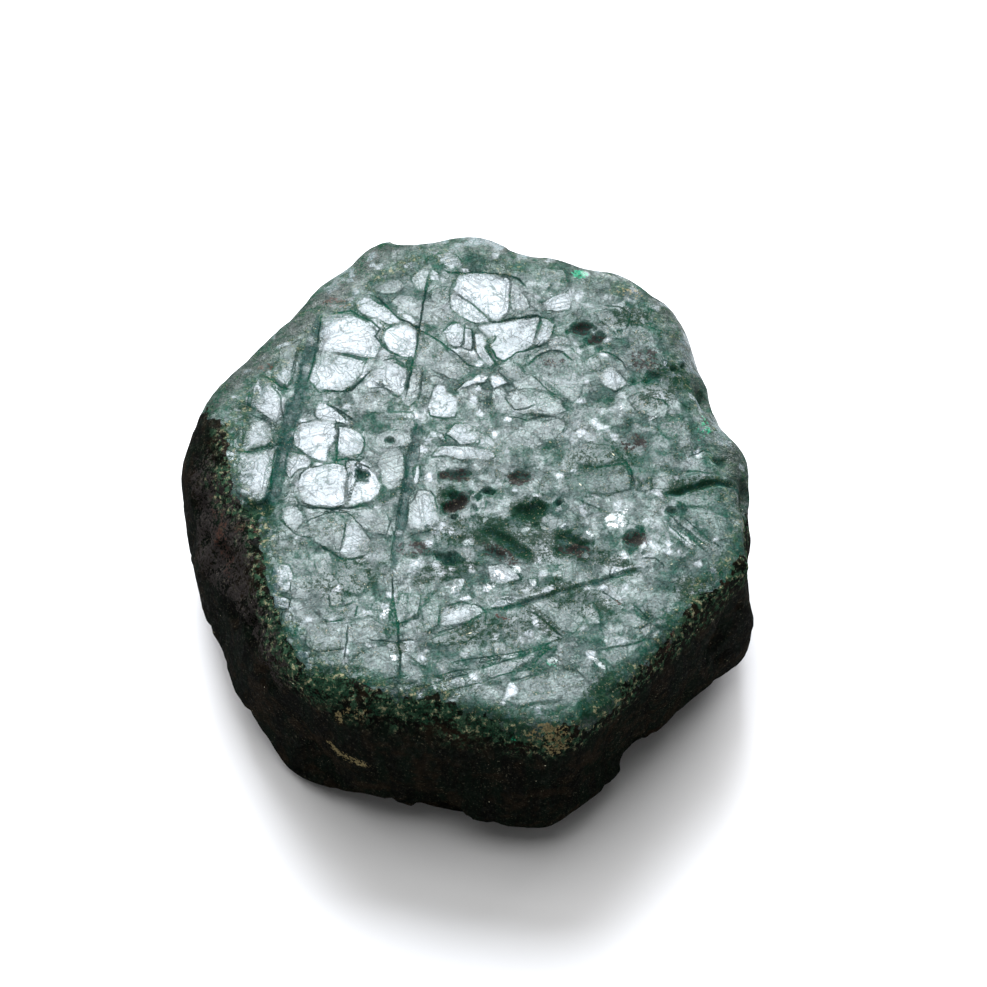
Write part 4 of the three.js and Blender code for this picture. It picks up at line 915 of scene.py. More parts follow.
@dataclass
class TopFace:
    """The relief of the top face: plates, cracks, pits, and the dull broken ground between them.

    A line is its width and darkness. The echo line is its half width and its darkness, as shares of the
    plate line's width and darkness. The other pairs of numbers are ramps.
    """

    grain: Grain
    seed: int = 11
    plate_reach: float = 0.8
    plate_growth: float = 0.10
    plate_edge: float = 0.09
    plate_cover: Span = (0.1, -0.1)
    plate_shine: Span = (-0.05, 0.12)
    plate_sheen: Drift = Drift(0.86, 0.22, 1.2, 5.0)
    plate_tilt: float = 0.022
    plate_drop: float = 0.010
    dull_drop: float = 0.006
    rim_shine: float = 0.8
    rim_width: Span = (0.0, 0.6)
    plate_line: Span = (0.12, 0.75)
    plate_drift: Drift = Drift(0.75, 0.9, 0.7, 3.0, (0.1, 1.2))
    echo_offset: float = 0.28
    echo_line: Span = (0.35, 0.45)
    faintest: float = 0.4
    ground: Drift = Drift(-0.016, 0.03, 1.4)
    ground_polish: float = 0.29
    polish_fall: float = 0.003
    polish_lumps: Lumps = ((0.10, 1.9),)
    least_polish: float = 0.05
    facet_sizes: tuple[float, ...] = (1.5, 0.8, 0.42)
    facet_gloss: float = 0.16
    facet_lift: float = 0.005
    facet_tilt: float = 0.014
    facet_crease: float = 0.005
    crease_width: float = 0.16
    facet_line: Span = (0.10, 0.50)
    facet_drift: Drift = Drift(0.25, 1.2, 0.8, 9.0, (0.0, 1.0))
    shard_gloss: float = 0.40
    shard_share: Span = (0.88, 0.92)
    shard_edge: Span = (0.0, 0.05)
    warp_size: float = 0.07
    warp_lumps: Lumps = ((1.0, 0.9), (0.6, 0.35))
    warp_apart: float = 50.0
    end_taper: float = 0.12
    end_width: float = 0.2
    groove_drift: Drift = Drift(1.0, 0.35, 0.7)
    groove_wall: Span = (1.1, 0.15)
    groove_floor: Span = (1.15, 0.5)
    groove_rim: Span = (0.09, 0.6)
    crack_drift: Drift = Drift(1.0, 0.45, 0.6, 7.0)
    fold_width: float = 0.22
    pit_unevenness: float = 0.50
    pit_lumps: Lumps = ((1.0, 0.6), (0.8, 0.25))
    pit_tone: float = 1.4
    pit_matt: Span = (0.035, 0.075)
    groove_matt: float = 0.75
    most_matt: float = 0.95

    def warped(self, points: np.ndarray) -> np.ndarray:
        """The points shifted a little by noise, so that no crack or edge runs quite straight."""
        shifted = points.copy()
        for axis in range(2):
            away = points + self.warp_apart * (axis + 1)
            shifted[:, axis] += self.warp_size * self.grain.over(away, self.warp_lumps)
        return shifted

    def taper(self, along: np.ndarray) -> np.ndarray:
        """How much of a crack's width is left at places along it, least at its ends and 1 between them."""
        return np.clip(np.minimum(along, 1.0 - along) / self.end_taper, self.end_width, 1.0)

    def facets(
        self, points: np.ndarray, open_ground: np.ndarray, lines: ThinLines
    ) -> tuple[np.ndarray, np.ndarray]:
        """The broken ground between the plates: small tilted facets.

        Args:
            points: warped positions.
            open_ground: 1 where no plate lies, falling to 0 on the plates.
            lines: takes the thin lines between the facets.

        Returns:
            Heights, and polish from 0 to 1.
        """
        height = self.ground.at(self.grain, points)
        polish = self.ground_polish - self.polish_fall * points[:, 0]
        polish = self.grain.over(points, self.polish_lumps, polish)
        width, dark = self.facet_line
        strength = dark * open_ground * self.facet_drift.at(self.grain, points)
        everywhere = np.arange(len(points))
        for i, size in enumerate(self.facet_sizes):
            edge, offset, values = Cells(self.seed + i, size).at(points)
            share = size / self.facet_sizes[0]
            height += share * self.facet_lift * values[:, 0]
            height += self.facet_tilt * (offset * values[:, 1:3]).sum(axis=1)
            height -= share * self.facet_crease * smooth_step(self.crease_width * size, 0.0, edge)
            polish += self.facet_gloss * values[:, 3]
            # A border shows as a whole line where the two facets beside it differ in sign
            lines.draw(everywhere, edge * np.sign(values[:, 3]), np.full(len(points), width / 2), strength)
        # A few of the smallest facets catch the light
        shard = smooth_step(*self.shard_share, values[:, 3])
        polish += self.shard_gloss * shard * smooth_step(*self.shard_edge, edge)
        return height, np.clip(polish, self.least_polish, 1.0)

    def plates(self, points: np.ndarray, lines: ThinLines) -> tuple[np.ndarray, np.ndarray]:
        """Height of the plates and of the broken ground between them, and how polished each place is.

        Args:
            points: warped positions.
            lines: takes the thin lines round the plates.

        Returns:
            Heights, zero at the top of the highest plate, and polish from 0 to 1.
        """
        rng = np.random.default_rng(self.seed)
        beds = []
        open_ground = np.ones(len(points))
        for plate in PLATES:
            stops = np.array(plate.outline)
            near = near_stops(points, stops, self.plate_reach)
            depth = inside_distance(points[near], plate.outline) + self.plate_growth
            open_ground[near] = np.minimum(open_ground[near], smooth_step(*self.plate_cover, depth))
            beds.append((plate, stops.mean(axis=0), near, depth))
        height, polish = self.facets(points, open_ground, lines)
        sheen = self.plate_sheen.at(self.grain, points)
        width, dark = self.plate_line
        echo_width, echo_dark = self.echo_line
        strength = dark * self.plate_drift.at(self.grain, points)
        for plate, middle, near, depth in beds:
            tilt = rng.uniform(-self.plate_tilt, self.plate_tilt, 2)
            lift = rng.uniform(-self.plate_drop, 0.0) - self.dull_drop * (1.0 - plate.polish)
            top = lift + (points[near, :2] - middle) @ tilt
            height[near] += smooth_step(-self.plate_edge, self.plate_edge, depth) * (top - height[near])
            shine = plate.polish * sheen[near]
            shine = shine * from_least(self.rim_shine, smooth_step(*self.rim_width, depth))
            polish[near] += smooth_step(*self.plate_shine, depth) * (shine - polish[near])
            faint = strength[near] * from_least(self.faintest, plate.polish)
            lines.draw(near, depth, np.full(len(near), width / 2), faint)
            half_echo = np.full(len(near), echo_width * width)
            lines.draw(near, depth - self.echo_offset, half_echo, echo_dark * faint)
        return height, np.clip(polish, 0.0, 1.0)

    def grooves(self, points: np.ndarray, lines: ThinLines) -> tuple[np.ndarray, np.ndarray]:
        """The wide grooves.

        Args:
            points: warped positions.
            lines: takes the thin lines along the rims.

        Returns:
            How deep they cut, and how dark their floor is from 0 to 1.
        """
        depth = np.zeros(len(points))
        tone = np.zeros(len(points))
        vary = self.groove_drift.at(self.grain, points)
        width, dark = self.groove_rim
        for grooves in LONG_GROOVES:
            for path in grooves.paths:
                near, offset, along = beside_path(points, path)
                taper = self.taper(along)
                half = 0.5 * grooves.width * vary[near] * from_least(self.faintest, taper)
                out = np.abs(offset) / half
                cut = grooves.depth * taper * smooth_step(*self.groove_wall, out)
                depth[near] = np.maximum(depth[near], cut)
                tone[near] = np.maximum(tone[near], grooves.tone * smooth_step(*self.groove_floor, out))
                if grooves.rims:
                    for side in (-1, 1):
                        beside = offset + side * grooves.rims * vary[near]
                        lines.draw(near, beside, width / 2 * taper, dark * taper)
        return depth, tone

    def cracks(self, points: np.ndarray, lines: ThinLines) -> np.ndarray:
        """The thin cracks and scratches.

        Args:
            points: warped positions.
            lines: takes them.

        Returns:
            How deep the face folds along them.
        """
        fold = np.zeros(len(points))
        vary = self.crack_drift.at(self.grain, points)
        for cracks in (CRACKS, FINE_CRACKS):
            for path in cracks.paths:
                near, offset, along = beside_path(points, path)
                taper = self.taper(along)
                share = smooth_step(self.fold_width, 0.0, np.abs(offset))
                fold[near] = np.maximum(fold[near], cracks.fold * taper * share)
                half_width = 0.5 * cracks.width * vary[near] * taper
                lines.draw(near, offset, half_width, cracks.dark * from_least(self.faintest, taper))
        return fold

    def pits(self, points: np.ndarray) -> np.ndarray:
        """How deep the pits go at the given warped positions."""
        depth = np.zeros(len(points))
        uneven = 1.0 + self.pit_unevenness * self.grain.over(points, self.pit_lumps)
        for pit in PITS:
            out = uneven * ellipse_radius(points, pit.x, pit.y, pit.long, pit.wide, pit.turn)
            depth = np.maximum(depth, pit.depth * np.clip(1.0 - out**2, 0.0, 1.0))
        return depth

    def relief(self, points: np.ndarray) -> tuple[np.ndarray, np.ndarray, np.ndarray, ThinLines]:
        """The whole relief of the top face.

        Args:
            points: positions on the smooth body.

        Returns:
            Heights, groove share and polish, the last two from 0 to 1, and the thin lines.
        """
        warped = self.warped(points)
        lines = ThinLines(len(points))
        height, polish = self.plates(warped, lines)
        cut, tone = self.grooves(warped, lines)
        fold = self.cracks(warped, lines)
        pit = self.pits(warped)
        matt = np.clip(self.groove_matt * tone + smooth_step(*self.pit_matt, pit), 0.0, self.most_matt)
        groove = np.clip(tone + self.pit_tone * pit, 0.0, 1.0)
        return height - cut - fold - pit, groove, polish * (1.0 - matt), lines


@dataclass
class Sides:
    """The relief of the bevels, sides and foot: lumps, chips and upright growth grooves."""

    grain: Grain
    form: CrystalForm
    lumps: Lumps = ((0.09, 2.6), (0.05, 1.1), (0.04, 0.5))
    sink: float = 0.06
    ragged: Lumps = ((0.5, 1.3), (0.3, 0.6))
    foot_reach: float = 1.4
    foot_slope: float = 0.10
    stria_places: tuple[float, ...] = (-0.62, -0.2, 0.18, 0.55)
    stria_width: float = 0.7
    stria_depth: float = 0.18
    stria_ends: Span = (1.6, 9.2)
    stria_fade: float = 1.0

    def relief(self, points: np.ndarray) -> np.ndarray:
        """How far the sides stand out from the smooth body, nearly everywhere a negative number.

        Args:
            points: positions on the smooth body, with z from 0 at the base.

        Returns:
            One value for each point.
        """
        height = self.grain.over(points, self.lumps) - self.sink
        angle = np.degrees(np.arctan2(points[:, 1], points[:, 0]))
        radius = np.hypot(points[:, 0], points[:, 1])
        up = points[:, 2]
        ragged = self.grain.over(points, self.ragged, 1.0)
        for chip in CHIPS:
            across = np.radians(turn_from(angle, chip.azimuth)) * radius / chip.radius
            out = ragged * np.hypot(across, (up - chip.z) / chip.radius)
            height = height - chip.depth * np.sqrt(np.clip(1.0 - out**2, 0.0, 1.0))
        # Near the base the chips are shallow, so that the foot keeps its outline
        shallow = np.maximum(height, -self.foot_slope * up - self.sink)
        height = np.where(up < self.foot_reach, shallow, height)
        low, high = self.stria_ends
        upright = smooth_step(low - self.stria_fade, low + self.stria_fade, up)
        upright = upright * smooth_step(high + self.stria_fade, high - self.stria_fade, up)
        face_turn = 360 / len(self.form.faces)
        for i in range(len(self.form.faces)):
            for place in self.stria_places:
                azimuth = self.form.first_face + (i + place / 2) * face_turn
                across = np.abs(np.radians(turn_from(angle, azimuth))) * radius / (self.stria_width / 2)
                height = height - self.stria_depth * upright * np.clip(1.0 - across, 0.0, 1.0)
        return height


@dataclass(frozen=True)
class TintLook:
    """How one tint looks: its colour, the share of the gloss that it leaves, and how ragged its edge is."""

    tint: Tint
    colour: Colour
    gloss: float
    ragged: float


@dataclass
class NodeTree:
    """A few short words for building a material's nodes."""

    tree: bpy.types.NodeTree

    def add(self, kind: str) -> bpy.types.Node:
        """A new node of one kind."""
        return self.tree.nodes.new(kind)

    def link(self, source: Socket, target: Socket) -> None:
        """Joins one socket to another."""
        self.tree.links.new(source, target)

    def feed(self, target: Socket, value: Value) -> None:
        """Sets a socket from another socket, a number or a colour."""
        if isinstance(value, Socket):
            self.link(value, target)
        elif isinstance(value, tuple) and target.type == "RGBA":
            target.default_value = (*value, 1.0)
        else:
            target.default_value = value

    def shader(self) -> bpy.types.Node:
        """The material's surface shader."""
        return next(node for node in self.tree.nodes if node.type == "BSDF_PRINCIPLED")

    def scaled_place(self, place: Socket, scale: tuple[float, float, float]) -> Socket:
        """Positions stretched along each axis."""
        node = self.add("ShaderNodeMapping")
        node.inputs["Scale"].default_value = scale
        self.link(place, node.inputs["Vector"])
        return node.outputs["Vector"]

    def millimetres(self) -> Socket:
        """Object coordinates in millimetres."""
        place = self.add("ShaderNodeTexCoord").outputs["Object"]
        return self.scaled_place(place, (1 / MM, 1 / MM, 1 / MM))

    def attribute(self, name: str) -> Socket:
        """The mesh's own attribute of that name."""
        node = self.add("ShaderNodeAttribute")
        node.attribute_name = name
        return node.outputs["Fac"]

    def moved(
        self,
        place: Socket,
        shift: float = 0.0,
        turn: float = 0.0,
        scale: tuple[float, float, float] = (1.0, 1.0, 1.0),
    ) -> Socket:
        """Positions turned about the upright axis by degrees, shifted along, and then stretched."""
        turned = self.add("ShaderNodeMapping")
        turned.inputs["Location"].default_value = (shift, shift, 0.0)
        turned.inputs["Rotation"].default_value = (0.0, 0.0, math.radians(-turn))
        self.link(place, turned.inputs["Vector"])
        return self.scaled_place(turned.outputs["Vector"], scale)

    def contour(self, noise: Socket, width: float) -> Socket:
        """The thin winding line where noise passes 0.5, 1 on the line."""
        return self.ramp(self.math("ABSOLUTE", self.math("SUBTRACT", noise, 0.5)), width, 0.0)

    def glints(self, place: Socket, scale: float, radius: float) -> Socket:
        """Scattered round specks, 1 on a speck, so many to the millimetre."""
        node = self.add("ShaderNodeTexVoronoi")
        self.link(place, node.inputs["Vector"])
        node.inputs["Scale"].default_value = scale
        return self.ramp(node.outputs["Distance"], radius * scale, 0.5 * radius * scale)

    def cell_edges(self, place: Socket, scale: float, width: float) -> Socket:
        """Borders of irregular cells, 1 on a border, so many cells to the millimetre."""
        node = self.add("ShaderNodeTexVoronoi")
        node.feature = "DISTANCE_TO_EDGE"
        self.link(place, node.inputs["Vector"])
        node.inputs["Scale"].default_value = scale
        return self.ramp(node.outputs["Distance"], width * scale, 0.0)

    def noise(self, place: Socket, scale: float, detail: float, rough: float, shift: float = 0.0) -> Socket:
        """Noise of so many lumps to the millimetre."""
        node = self.add("ShaderNodeTexNoise")
        self.link(self.moved(place, shift) if shift else place, node.inputs["Vector"])
        node.inputs["Scale"].default_value = scale
        node.inputs["Detail"].default_value = detail
        node.inputs["Roughness"].default_value = rough
        return node.outputs["Fac"]

    def bent(self, place: Socket, scale: float, amount: float) -> Socket:
        """Positions pushed about by noise, by up to so many millimetres."""
        noise = self.add("ShaderNodeTexNoise")
        self.link(place, noise.inputs["Vector"])
        noise.inputs["Scale"].default_value = scale
        push = self.add("ShaderNodeVectorMath")
        push.operation = "MULTIPLY_ADD"
        self.link(noise.outputs["Color"], push.inputs[0])
        push.inputs[1].default_value = (2 * amount, 2 * amount, 2 * amount)
        self.link(place, push.inputs[2])
        return push.outputs["Vector"]

    def scaled(self, colour: Socket, factor: Socket) -> Socket:
        """A colour made darker or lighter by a factor."""
        node = self.add("ShaderNodeVectorMath")
        node.operation = "SCALE"
        self.link(colour, node.inputs[0])
        self.link(factor, node.inputs["Scale"])
        return node.outputs["Vector"]

    def ramp(self, value: Socket, low: float, high: float, top: float = 1.0) -> Socket:
        """A smooth ramp from 0 at low to top at high."""
        node = self.add("ShaderNodeMapRange")
        node.interpolation_type = "SMOOTHSTEP"
        self.link(value, node.inputs["Value"])
        for name, number in (("From Min", low), ("From Max", high), ("To Min", 0.0), ("To Max", top)):
            node.inputs[name].default_value = number
        return node.outputs["Result"]

    def mix(self, factor: Value, first: Value, second: Value) -> Socket:
        """A mix of two colours."""
        node = self.add("ShaderNodeMix")
        node.data_type = "RGBA"
        self.feed(node.inputs[0], factor)
        self.feed(node.inputs[6], first)
        self.feed(node.inputs[7], second)
        return node.outputs[2]

    def blend(self, factor: Value, first: Value, second: Value) -> Socket:
        """A mix of two numbers."""
        node = self.add("ShaderNodeMix")
        self.feed(node.inputs[0], factor)
        self.feed(node.inputs[2], first)
        self.feed(node.inputs[3], second)
        return node.outputs[0]

    def math(self, operation: str, *values: Value) -> Socket:
        """One sum."""
        node = self.add("ShaderNodeMath")
        node.operation = operation
        for socket, value in zip(node.inputs, values):
            self.feed(socket, value)
        return node.outputs[0]

    def times(self, first: Value, *others: Value) -> Socket:
        """The product of two numbers or more."""
        for other in others:
            first = self.math("MULTIPLY", first, other)
        return first

    def most(self, first: Value, *others: Value) -> Socket:
        """The largest of two numbers or more."""
        for other in others:
            first = self.math("MAXIMUM", first, other)
        return first

    def rest(self, share: Value) -> Socket:
        """What a share leaves of 1."""
        return self.math("SUBTRACT", 1.0, share)

    def shares(self, first: Value, second: Value, share: float) -> Socket:
        """A share of the first number and the rest of the second."""
        return self.math("MULTIPLY_ADD", first, share, self.math("MULTIPLY", second, 1.0 - share))

    def bump(self, height: Socket, strength: float, depth: float, below: Socket | None = None) -> Socket:
        """A bump so many millimetres deep, on top of the one below."""
        node = self.add("ShaderNodeBump")
        node.inputs["Strength"].default_value = strength
        node.inputs["Distance"].default_value = depth * MM
        self.link(height, node.inputs["Height"])
        if below is not None:
            self.link(below, node.inputs["Normal"])
        return node.outputs["Normal"]


class StoneMarks:
    """The patterns that the stone's colour, gloss and bumps share, as sockets."""

    def __init__(self, tree: NodeTree) -> None:
        """Builds the nodes of every pattern in a material's tree."""
        self.tree = tree
        self.place = place = tree.millimetres()
        self.groove = tree.attribute("groove")
        self.polish = tree.attribute("polish")
        self.bevel = tree.attribute("bevel")
        self.speckle = tree.noise(place, 3.6, 4, 0.65)
        self.grit = tree.noise(place, 8.0, 2, 0.6)
        self.mottle = tree.noise(place, 1.3, 4, 0.62)
        self.blotch = tree.noise(place, 0.40, 3, 0.55)
        self.streak = tree.noise(tree.moved(place, scale=(1.0, 1.0, 0.15)), 1.2, 4, 0.65)
        side = tree.math("SUBTRACT", self.speckle, 0.5)
        self.side = tree.ramp(tree.math("MULTIPLY_ADD", side, 1.8, tree.attribute("side")), 0.38, 0.62)
        self.on_plate = tree.ramp(self.polish, 0.45, 0.75)
        self.bent = tree.bent(place, 0.9, 0.7)
        self.fine = tree.most(self.scratches(), tree.most(self.nets(), self.wrinkle()))
        line = tree.ramp(tree.math("ABSOLUTE", tree.attribute("line")), 1.35, 0.35)
        self.line = tree.times(line, tree.attribute("line_dark"))
        moss = tree.ramp(tree.noise(self.bent, 0.8, 5, 0.7), 0.52, 0.60)
        moss = tree.times(moss, tree.ramp(self.speckle, 0.44, 0.54))
        self.moss = tree.times(moss, tree.rest(self.on_plate))
        crumb = tree.ramp(tree.noise(place, 2.3, 4, 0.70, shift=3.0), 0.48, 0.58)
        self.crumb = tree.times(crumb, tree.attribute("rim"))
        self.fleck = tree.ramp(tree.shares(self.grit, self.speckle, 0.6), 0.38, 0.62)
        uneven = tree.math("ADD", self.mottle, tree.math("ADD", self.speckle, self.grit))
        self.uneven = tree.math("SUBTRACT", uneven, 1.5)

    def nets(self, line: float = 0.052) -> Socket:
        """A wide and a narrow net of hairlines that come and go over the face."""
        nets = []
        for scale, shift in ((0.60, 3.0), (1.5, 11.0)):
            net = self.tree.cell_edges(self.tree.moved(self.bent, shift), scale, line)
            patch = self.tree.noise(self.bent, 0.9, 2, 0.5, shift=shift)
            nets.append(self.tree.times(net, self.tree.ramp(patch, 0.46, 0.58)))
        return self.tree.most(*nets)

    def wrinkle(self) -> Socket:
        """A few winding wrinkles."""
        wrinkle = self.tree.contour(self.tree.noise(self.bent, 1.1, 2, 0.5), 0.038)
        return self.tree.times(wrinkle, self.tree.ramp(self.blotch, 0.38, 0.50))

    def scratches(self) -> Socket:
        """Thin long scratches in three directions, each in its own stretches of the face."""
        tree = self.tree
        scratches = []
        for turn, across, along in ((18.0, 2.2, 0.16), (100.0, 1.8, 0.14), (-42.0, 2.0, 0.20)):
            scratch = tree.noise(tree.moved(self.place, turn, turn, (along, across, 0.3)), 1.0, 2, 0.5)
            patch = tree.noise(self.place, 0.35, 1, 0.5, shift=turn)
            scratches.append(tree.times(tree.contour(scratch, 0.035), tree.ramp(patch, 0.44, 0.56)))
        return tree.times(tree.most(*scratches), tree.ramp(self.mottle, 0.40, 0.52))

    def painted_glints_and_dust(self) -> Socket:
        """Painted glints, partly pale specks of dust, scattered: a few round and the others short and
        straight.
        """
        tree = self.tree
        flecks = [tree.glints(self.place, 1.1, 0.035)]
        for turn, along in ((20.0, 0.30), (75.0, 0.35), (-50.0, 0.32)):
            flecks.append(tree.glints(tree.moved(self.place, turn, turn, (along, 1.0, 1.0)), 0.9, 0.04))
        return tree.times(tree.most(*flecks), tree.ramp(self.mottle, 0.50, 0.60))

    def warm_specks(self) -> Socket:
        """Small warm specks, most on the moss and fewest on the sides."""
        tree = self.tree
        specks = tree.ramp(tree.noise(self.place, 9.0, 1, 0.5, shift=7.0), 0.60, 0.74)
        specks = tree.times(specks, tree.blend(self.moss, 0.30, 0.90))
        return tree.times(specks, tree.blend(self.side, 1.0, 0.4))


@dataclass(frozen=True)
class StoneFinish:
    """The stone's linear colours and its gloss, and how its patterns mix them."""

    dull: Colour = (0.029, 0.053, 0.047)
    dull_green: Colour = (0.014, 0.050, 0.037)
    bevel: Colour = (0.022, 0.029, 0.025)
    moss: Colour = (0.006, 0.026, 0.014)
    plate: Colour = (0.031, 0.060, 0.064)
    groove: Colour = (0.011, 0.036, 0.031)
    warm: Colour = (0.130, 0.122, 0.080)
    line: Colour = (0.002, 0.012, 0.010)
    line_green: Colour = (0.001, 0.034, 0.019)
    # The sides' own dark green and brown, darkened nearly to black: painted shade
    side: Colour = (0.0018, 0.0020, 0.0015)
    shaded_side_green: Colour = (0.0022, 0.0042, 0.0026)
    shaded_side_brown: Colour = (0.0080, 0.0058, 0.0035)
    side_pale: Colour = (0.045, 0.038, 0.024)
    crumb: Colour = (0.160, 0.150, 0.088)
    crumb_green: Colour = (0.020, 0.046, 0.026)
    # Painted glints, partly pale dust specks: a light colour that stands in for sparkle highlights
    painted_glint_dust: Colour = (0.500, 0.480, 0.340)
    tints: tuple[TintLook, ...] = (
        TintLook(Tint.DEEP, (0.005, 0.018, 0.010), 0.15, 7.0),
        TintLook(Tint.BROWN, (0.016, 0.0142, 0.0135), 0.18, 6.0),
        TintLook(Tint.RUST, (0.027, 0.0140, 0.0105), 0.60, 7.0),
        TintLook(Tint.OCHRE, (0.105, 0.085, 0.042), 0.45, 9.0),
        TintLook(Tint.EMERALD, (0.002, 0.135, 0.070), 0.90, 4.0),
        # The pale tint's light colour is partly the chips' own and partly painted glint
        TintLook(Tint.PALE_AND_GLINT, (0.090, 0.120, 0.112), 3.20, 3.5),
    )
    refraction: float = 1.58
    specular: float = 0.0
    body_gloss: float = 0.45
    skin_gloss: float = 0.22
    side_skin: Span = (0.016, 0.048)

    def material(self) -> bpy.types.Material:
        """The stone's procedural material.

        Returns:
            A new material.
        """
        made = bpy.data.materials.new("emerald_stone")
        made.use_nodes = True
        tree = NodeTree(made.node_tree)
        shader = tree.shader()
        marks = StoneMarks(tree)
        colour = tree.mix(marks.side, self.face(tree, marks), self.wall(tree, marks))
        skin = tree.blend(marks.side, self.face_skin(tree, marks), self.wall_skin(tree, marks))
        for look in self.tints:
            amount = tree.math("MULTIPLY_ADD", marks.uneven, look.ragged, 1.0)
            amount = tree.ramp(tree.times(amount, tree.attribute(look.tint.value)), 0.30, 0.52, 0.95)
            colour = tree.mix(amount, colour, look.colour)
            skin = tree.times(skin, tree.blend(amount, 1.0, look.gloss))
        crumb = tree.mix(tree.ramp(marks.speckle, 0.52, 0.64), self.crumb_green, self.crumb)
        colour = tree.mix(marks.crumb, colour, crumb)
        skin = tree.times(skin, tree.blend(marks.crumb, 1.0, 0.2))
        colour = tree.mix(marks.warm_specks(), colour, self.warm)
        colour = tree.scaled(colour, tree.blend(marks.fleck, 0.7, 1.35))
        # Painted glints, partly pale dust: light flecks laid over the colour
        colour = tree.mix(marks.painted_glints_and_dust(), colour, self.painted_glint_dust)
        tree.link(colour, shader.inputs["Base Color"])
        tree.link(tree.math("MINIMUM", skin, 1.0), shader.inputs["Coat Weight"])
        shader.inputs["Roughness"].default_value = self.body_gloss
        shader.inputs["IOR"].default_value = self.refraction
        shader.inputs["Specular IOR Level"].default_value = self.specular
        shader.inputs["Coat Roughness"].default_value = self.skin_gloss
        shader.inputs["Coat IOR"].default_value = self.refraction
        bump = self.bump(tree, marks)
        tree.link(bump, shader.inputs["Normal"])
        tree.link(bump, shader.inputs["Coat Normal"])
        return made

    def face(self, tree: NodeTree, marks: StoneMarks) -> Socket:
        """The top face and the bevels: ground, plates, moss, grooves and lines.

        Args:
            tree: the material's nodes.
            marks: the patterns.

        Returns:
            Their colour.
        """
        face = tree.mix(tree.ramp(marks.mottle, 0.42, 0.60), self.dull, self.dull_green)
        face = tree.mix(tree.times(marks.bevel, 0.8), face, self.bevel)
        face = tree.mix(marks.on_plate, face, self.plate)
        face = tree.mix(marks.moss, face, self.moss)
        face = tree.mix(tree.ramp(marks.groove, 0.05, 0.7), face, self.groove)
        thin = tree.mix(tree.ramp(marks.blotch, 0.44, 0.58), self.line, self.line_green)
        face = tree.mix(tree.times(marks.fine, 0.6), face, thin)
        return tree.mix(tree.times(marks.line, 0.9), face, thin)

    def wall(self, tree: NodeTree, marks: StoneMarks) -> Socket:
        """The sides: their own dark green and brown darkened nearly to black as painted shade, with green
        streaks, brown clouds and pale dust.

        Args:
            tree: the material's nodes.
            marks: the patterns.

        Returns:
            Their colour.
        """
        # Painted shade: the sides' colours are kept nearly black
        wall = tree.mix(tree.ramp(marks.streak, 0.40, 0.60), self.side, self.shaded_side_green)
        cloud = tree.shares(marks.blotch, marks.mottle, 0.5)
        wall = tree.mix(tree.ramp(cloud, 0.48, 0.62), wall, self.shaded_side_brown)
        dust = tree.times(tree.ramp(marks.grit, 0.60, 0.78), tree.ramp(marks.mottle, 0.48, 0.64))
        return tree.mix(tree.times(dust, 0.45), wall, self.side_pale)

    def face_skin(self, tree: NodeTree, marks: StoneMarks) -> Socket:
        """The gloss of the top face and the bevels: the polish, less on lines and moss, and uneven.

        Args:
            tree: the material's nodes.
            marks: the patterns.

        Returns:
            How much of the glossy skin shows.
        """
        dark = tree.most(marks.line, tree.times(marks.fine, 0.55))
        skin = tree.times(marks.polish, tree.rest(dark))
        ground = tree.blend(marks.fleck, 0.78, 1.20)
        ground = tree.times(ground, tree.blend(tree.ramp(marks.mottle, 0.38, 0.62), 0.68, 1.20))
        plate = tree.blend(marks.fleck, 0.93, 1.03)
        plate = tree.times(plate, tree.blend(tree.ramp(marks.mottle, 0.36, 0.62), 0.88, 1.10))
        skin = tree.times(skin, tree.blend(marks.on_plate, ground, plate))
        return tree.times(skin, tree.blend(marks.moss, 1.0, 0.5))

    def wall_skin(self, tree: NodeTree, marks: StoneMarks) -> Socket:
        """The gloss of the sides."""
        return tree.blend(tree.ramp(marks.speckle, 0.50, 0.66), *self.side_skin)

    def bump(self, tree: NodeTree, marks: StoneMarks) -> Socket:
        """The finest relief, from slow swells to the drawn lines.

        Args:
            tree: the material's nodes.
            marks: the patterns.

        Returns:
            The bumped normals.
        """
        grain = tree.times(tree.math("ADD", marks.speckle, marks.grit), marks.bevel)
        bump: Socket | None = None
        for height, strength, depth in (
            (tree.noise(marks.place, 0.9, 3, 0.6), 0.6, 0.050),
            (tree.noise(marks.place, 2.6, 4, 0.6), 0.5, 0.020),
            (marks.speckle, 0.5, 0.010),
            (grain, 0.8, 0.070),
            (marks.crumb, 0.6, 0.050),
            (tree.times(marks.streak, marks.side), 0.8, 0.100),
            (tree.rest(marks.line), 0.5, 0.010),
        ):
            bump = tree.bump(height, strength, depth, bump)
        return bump


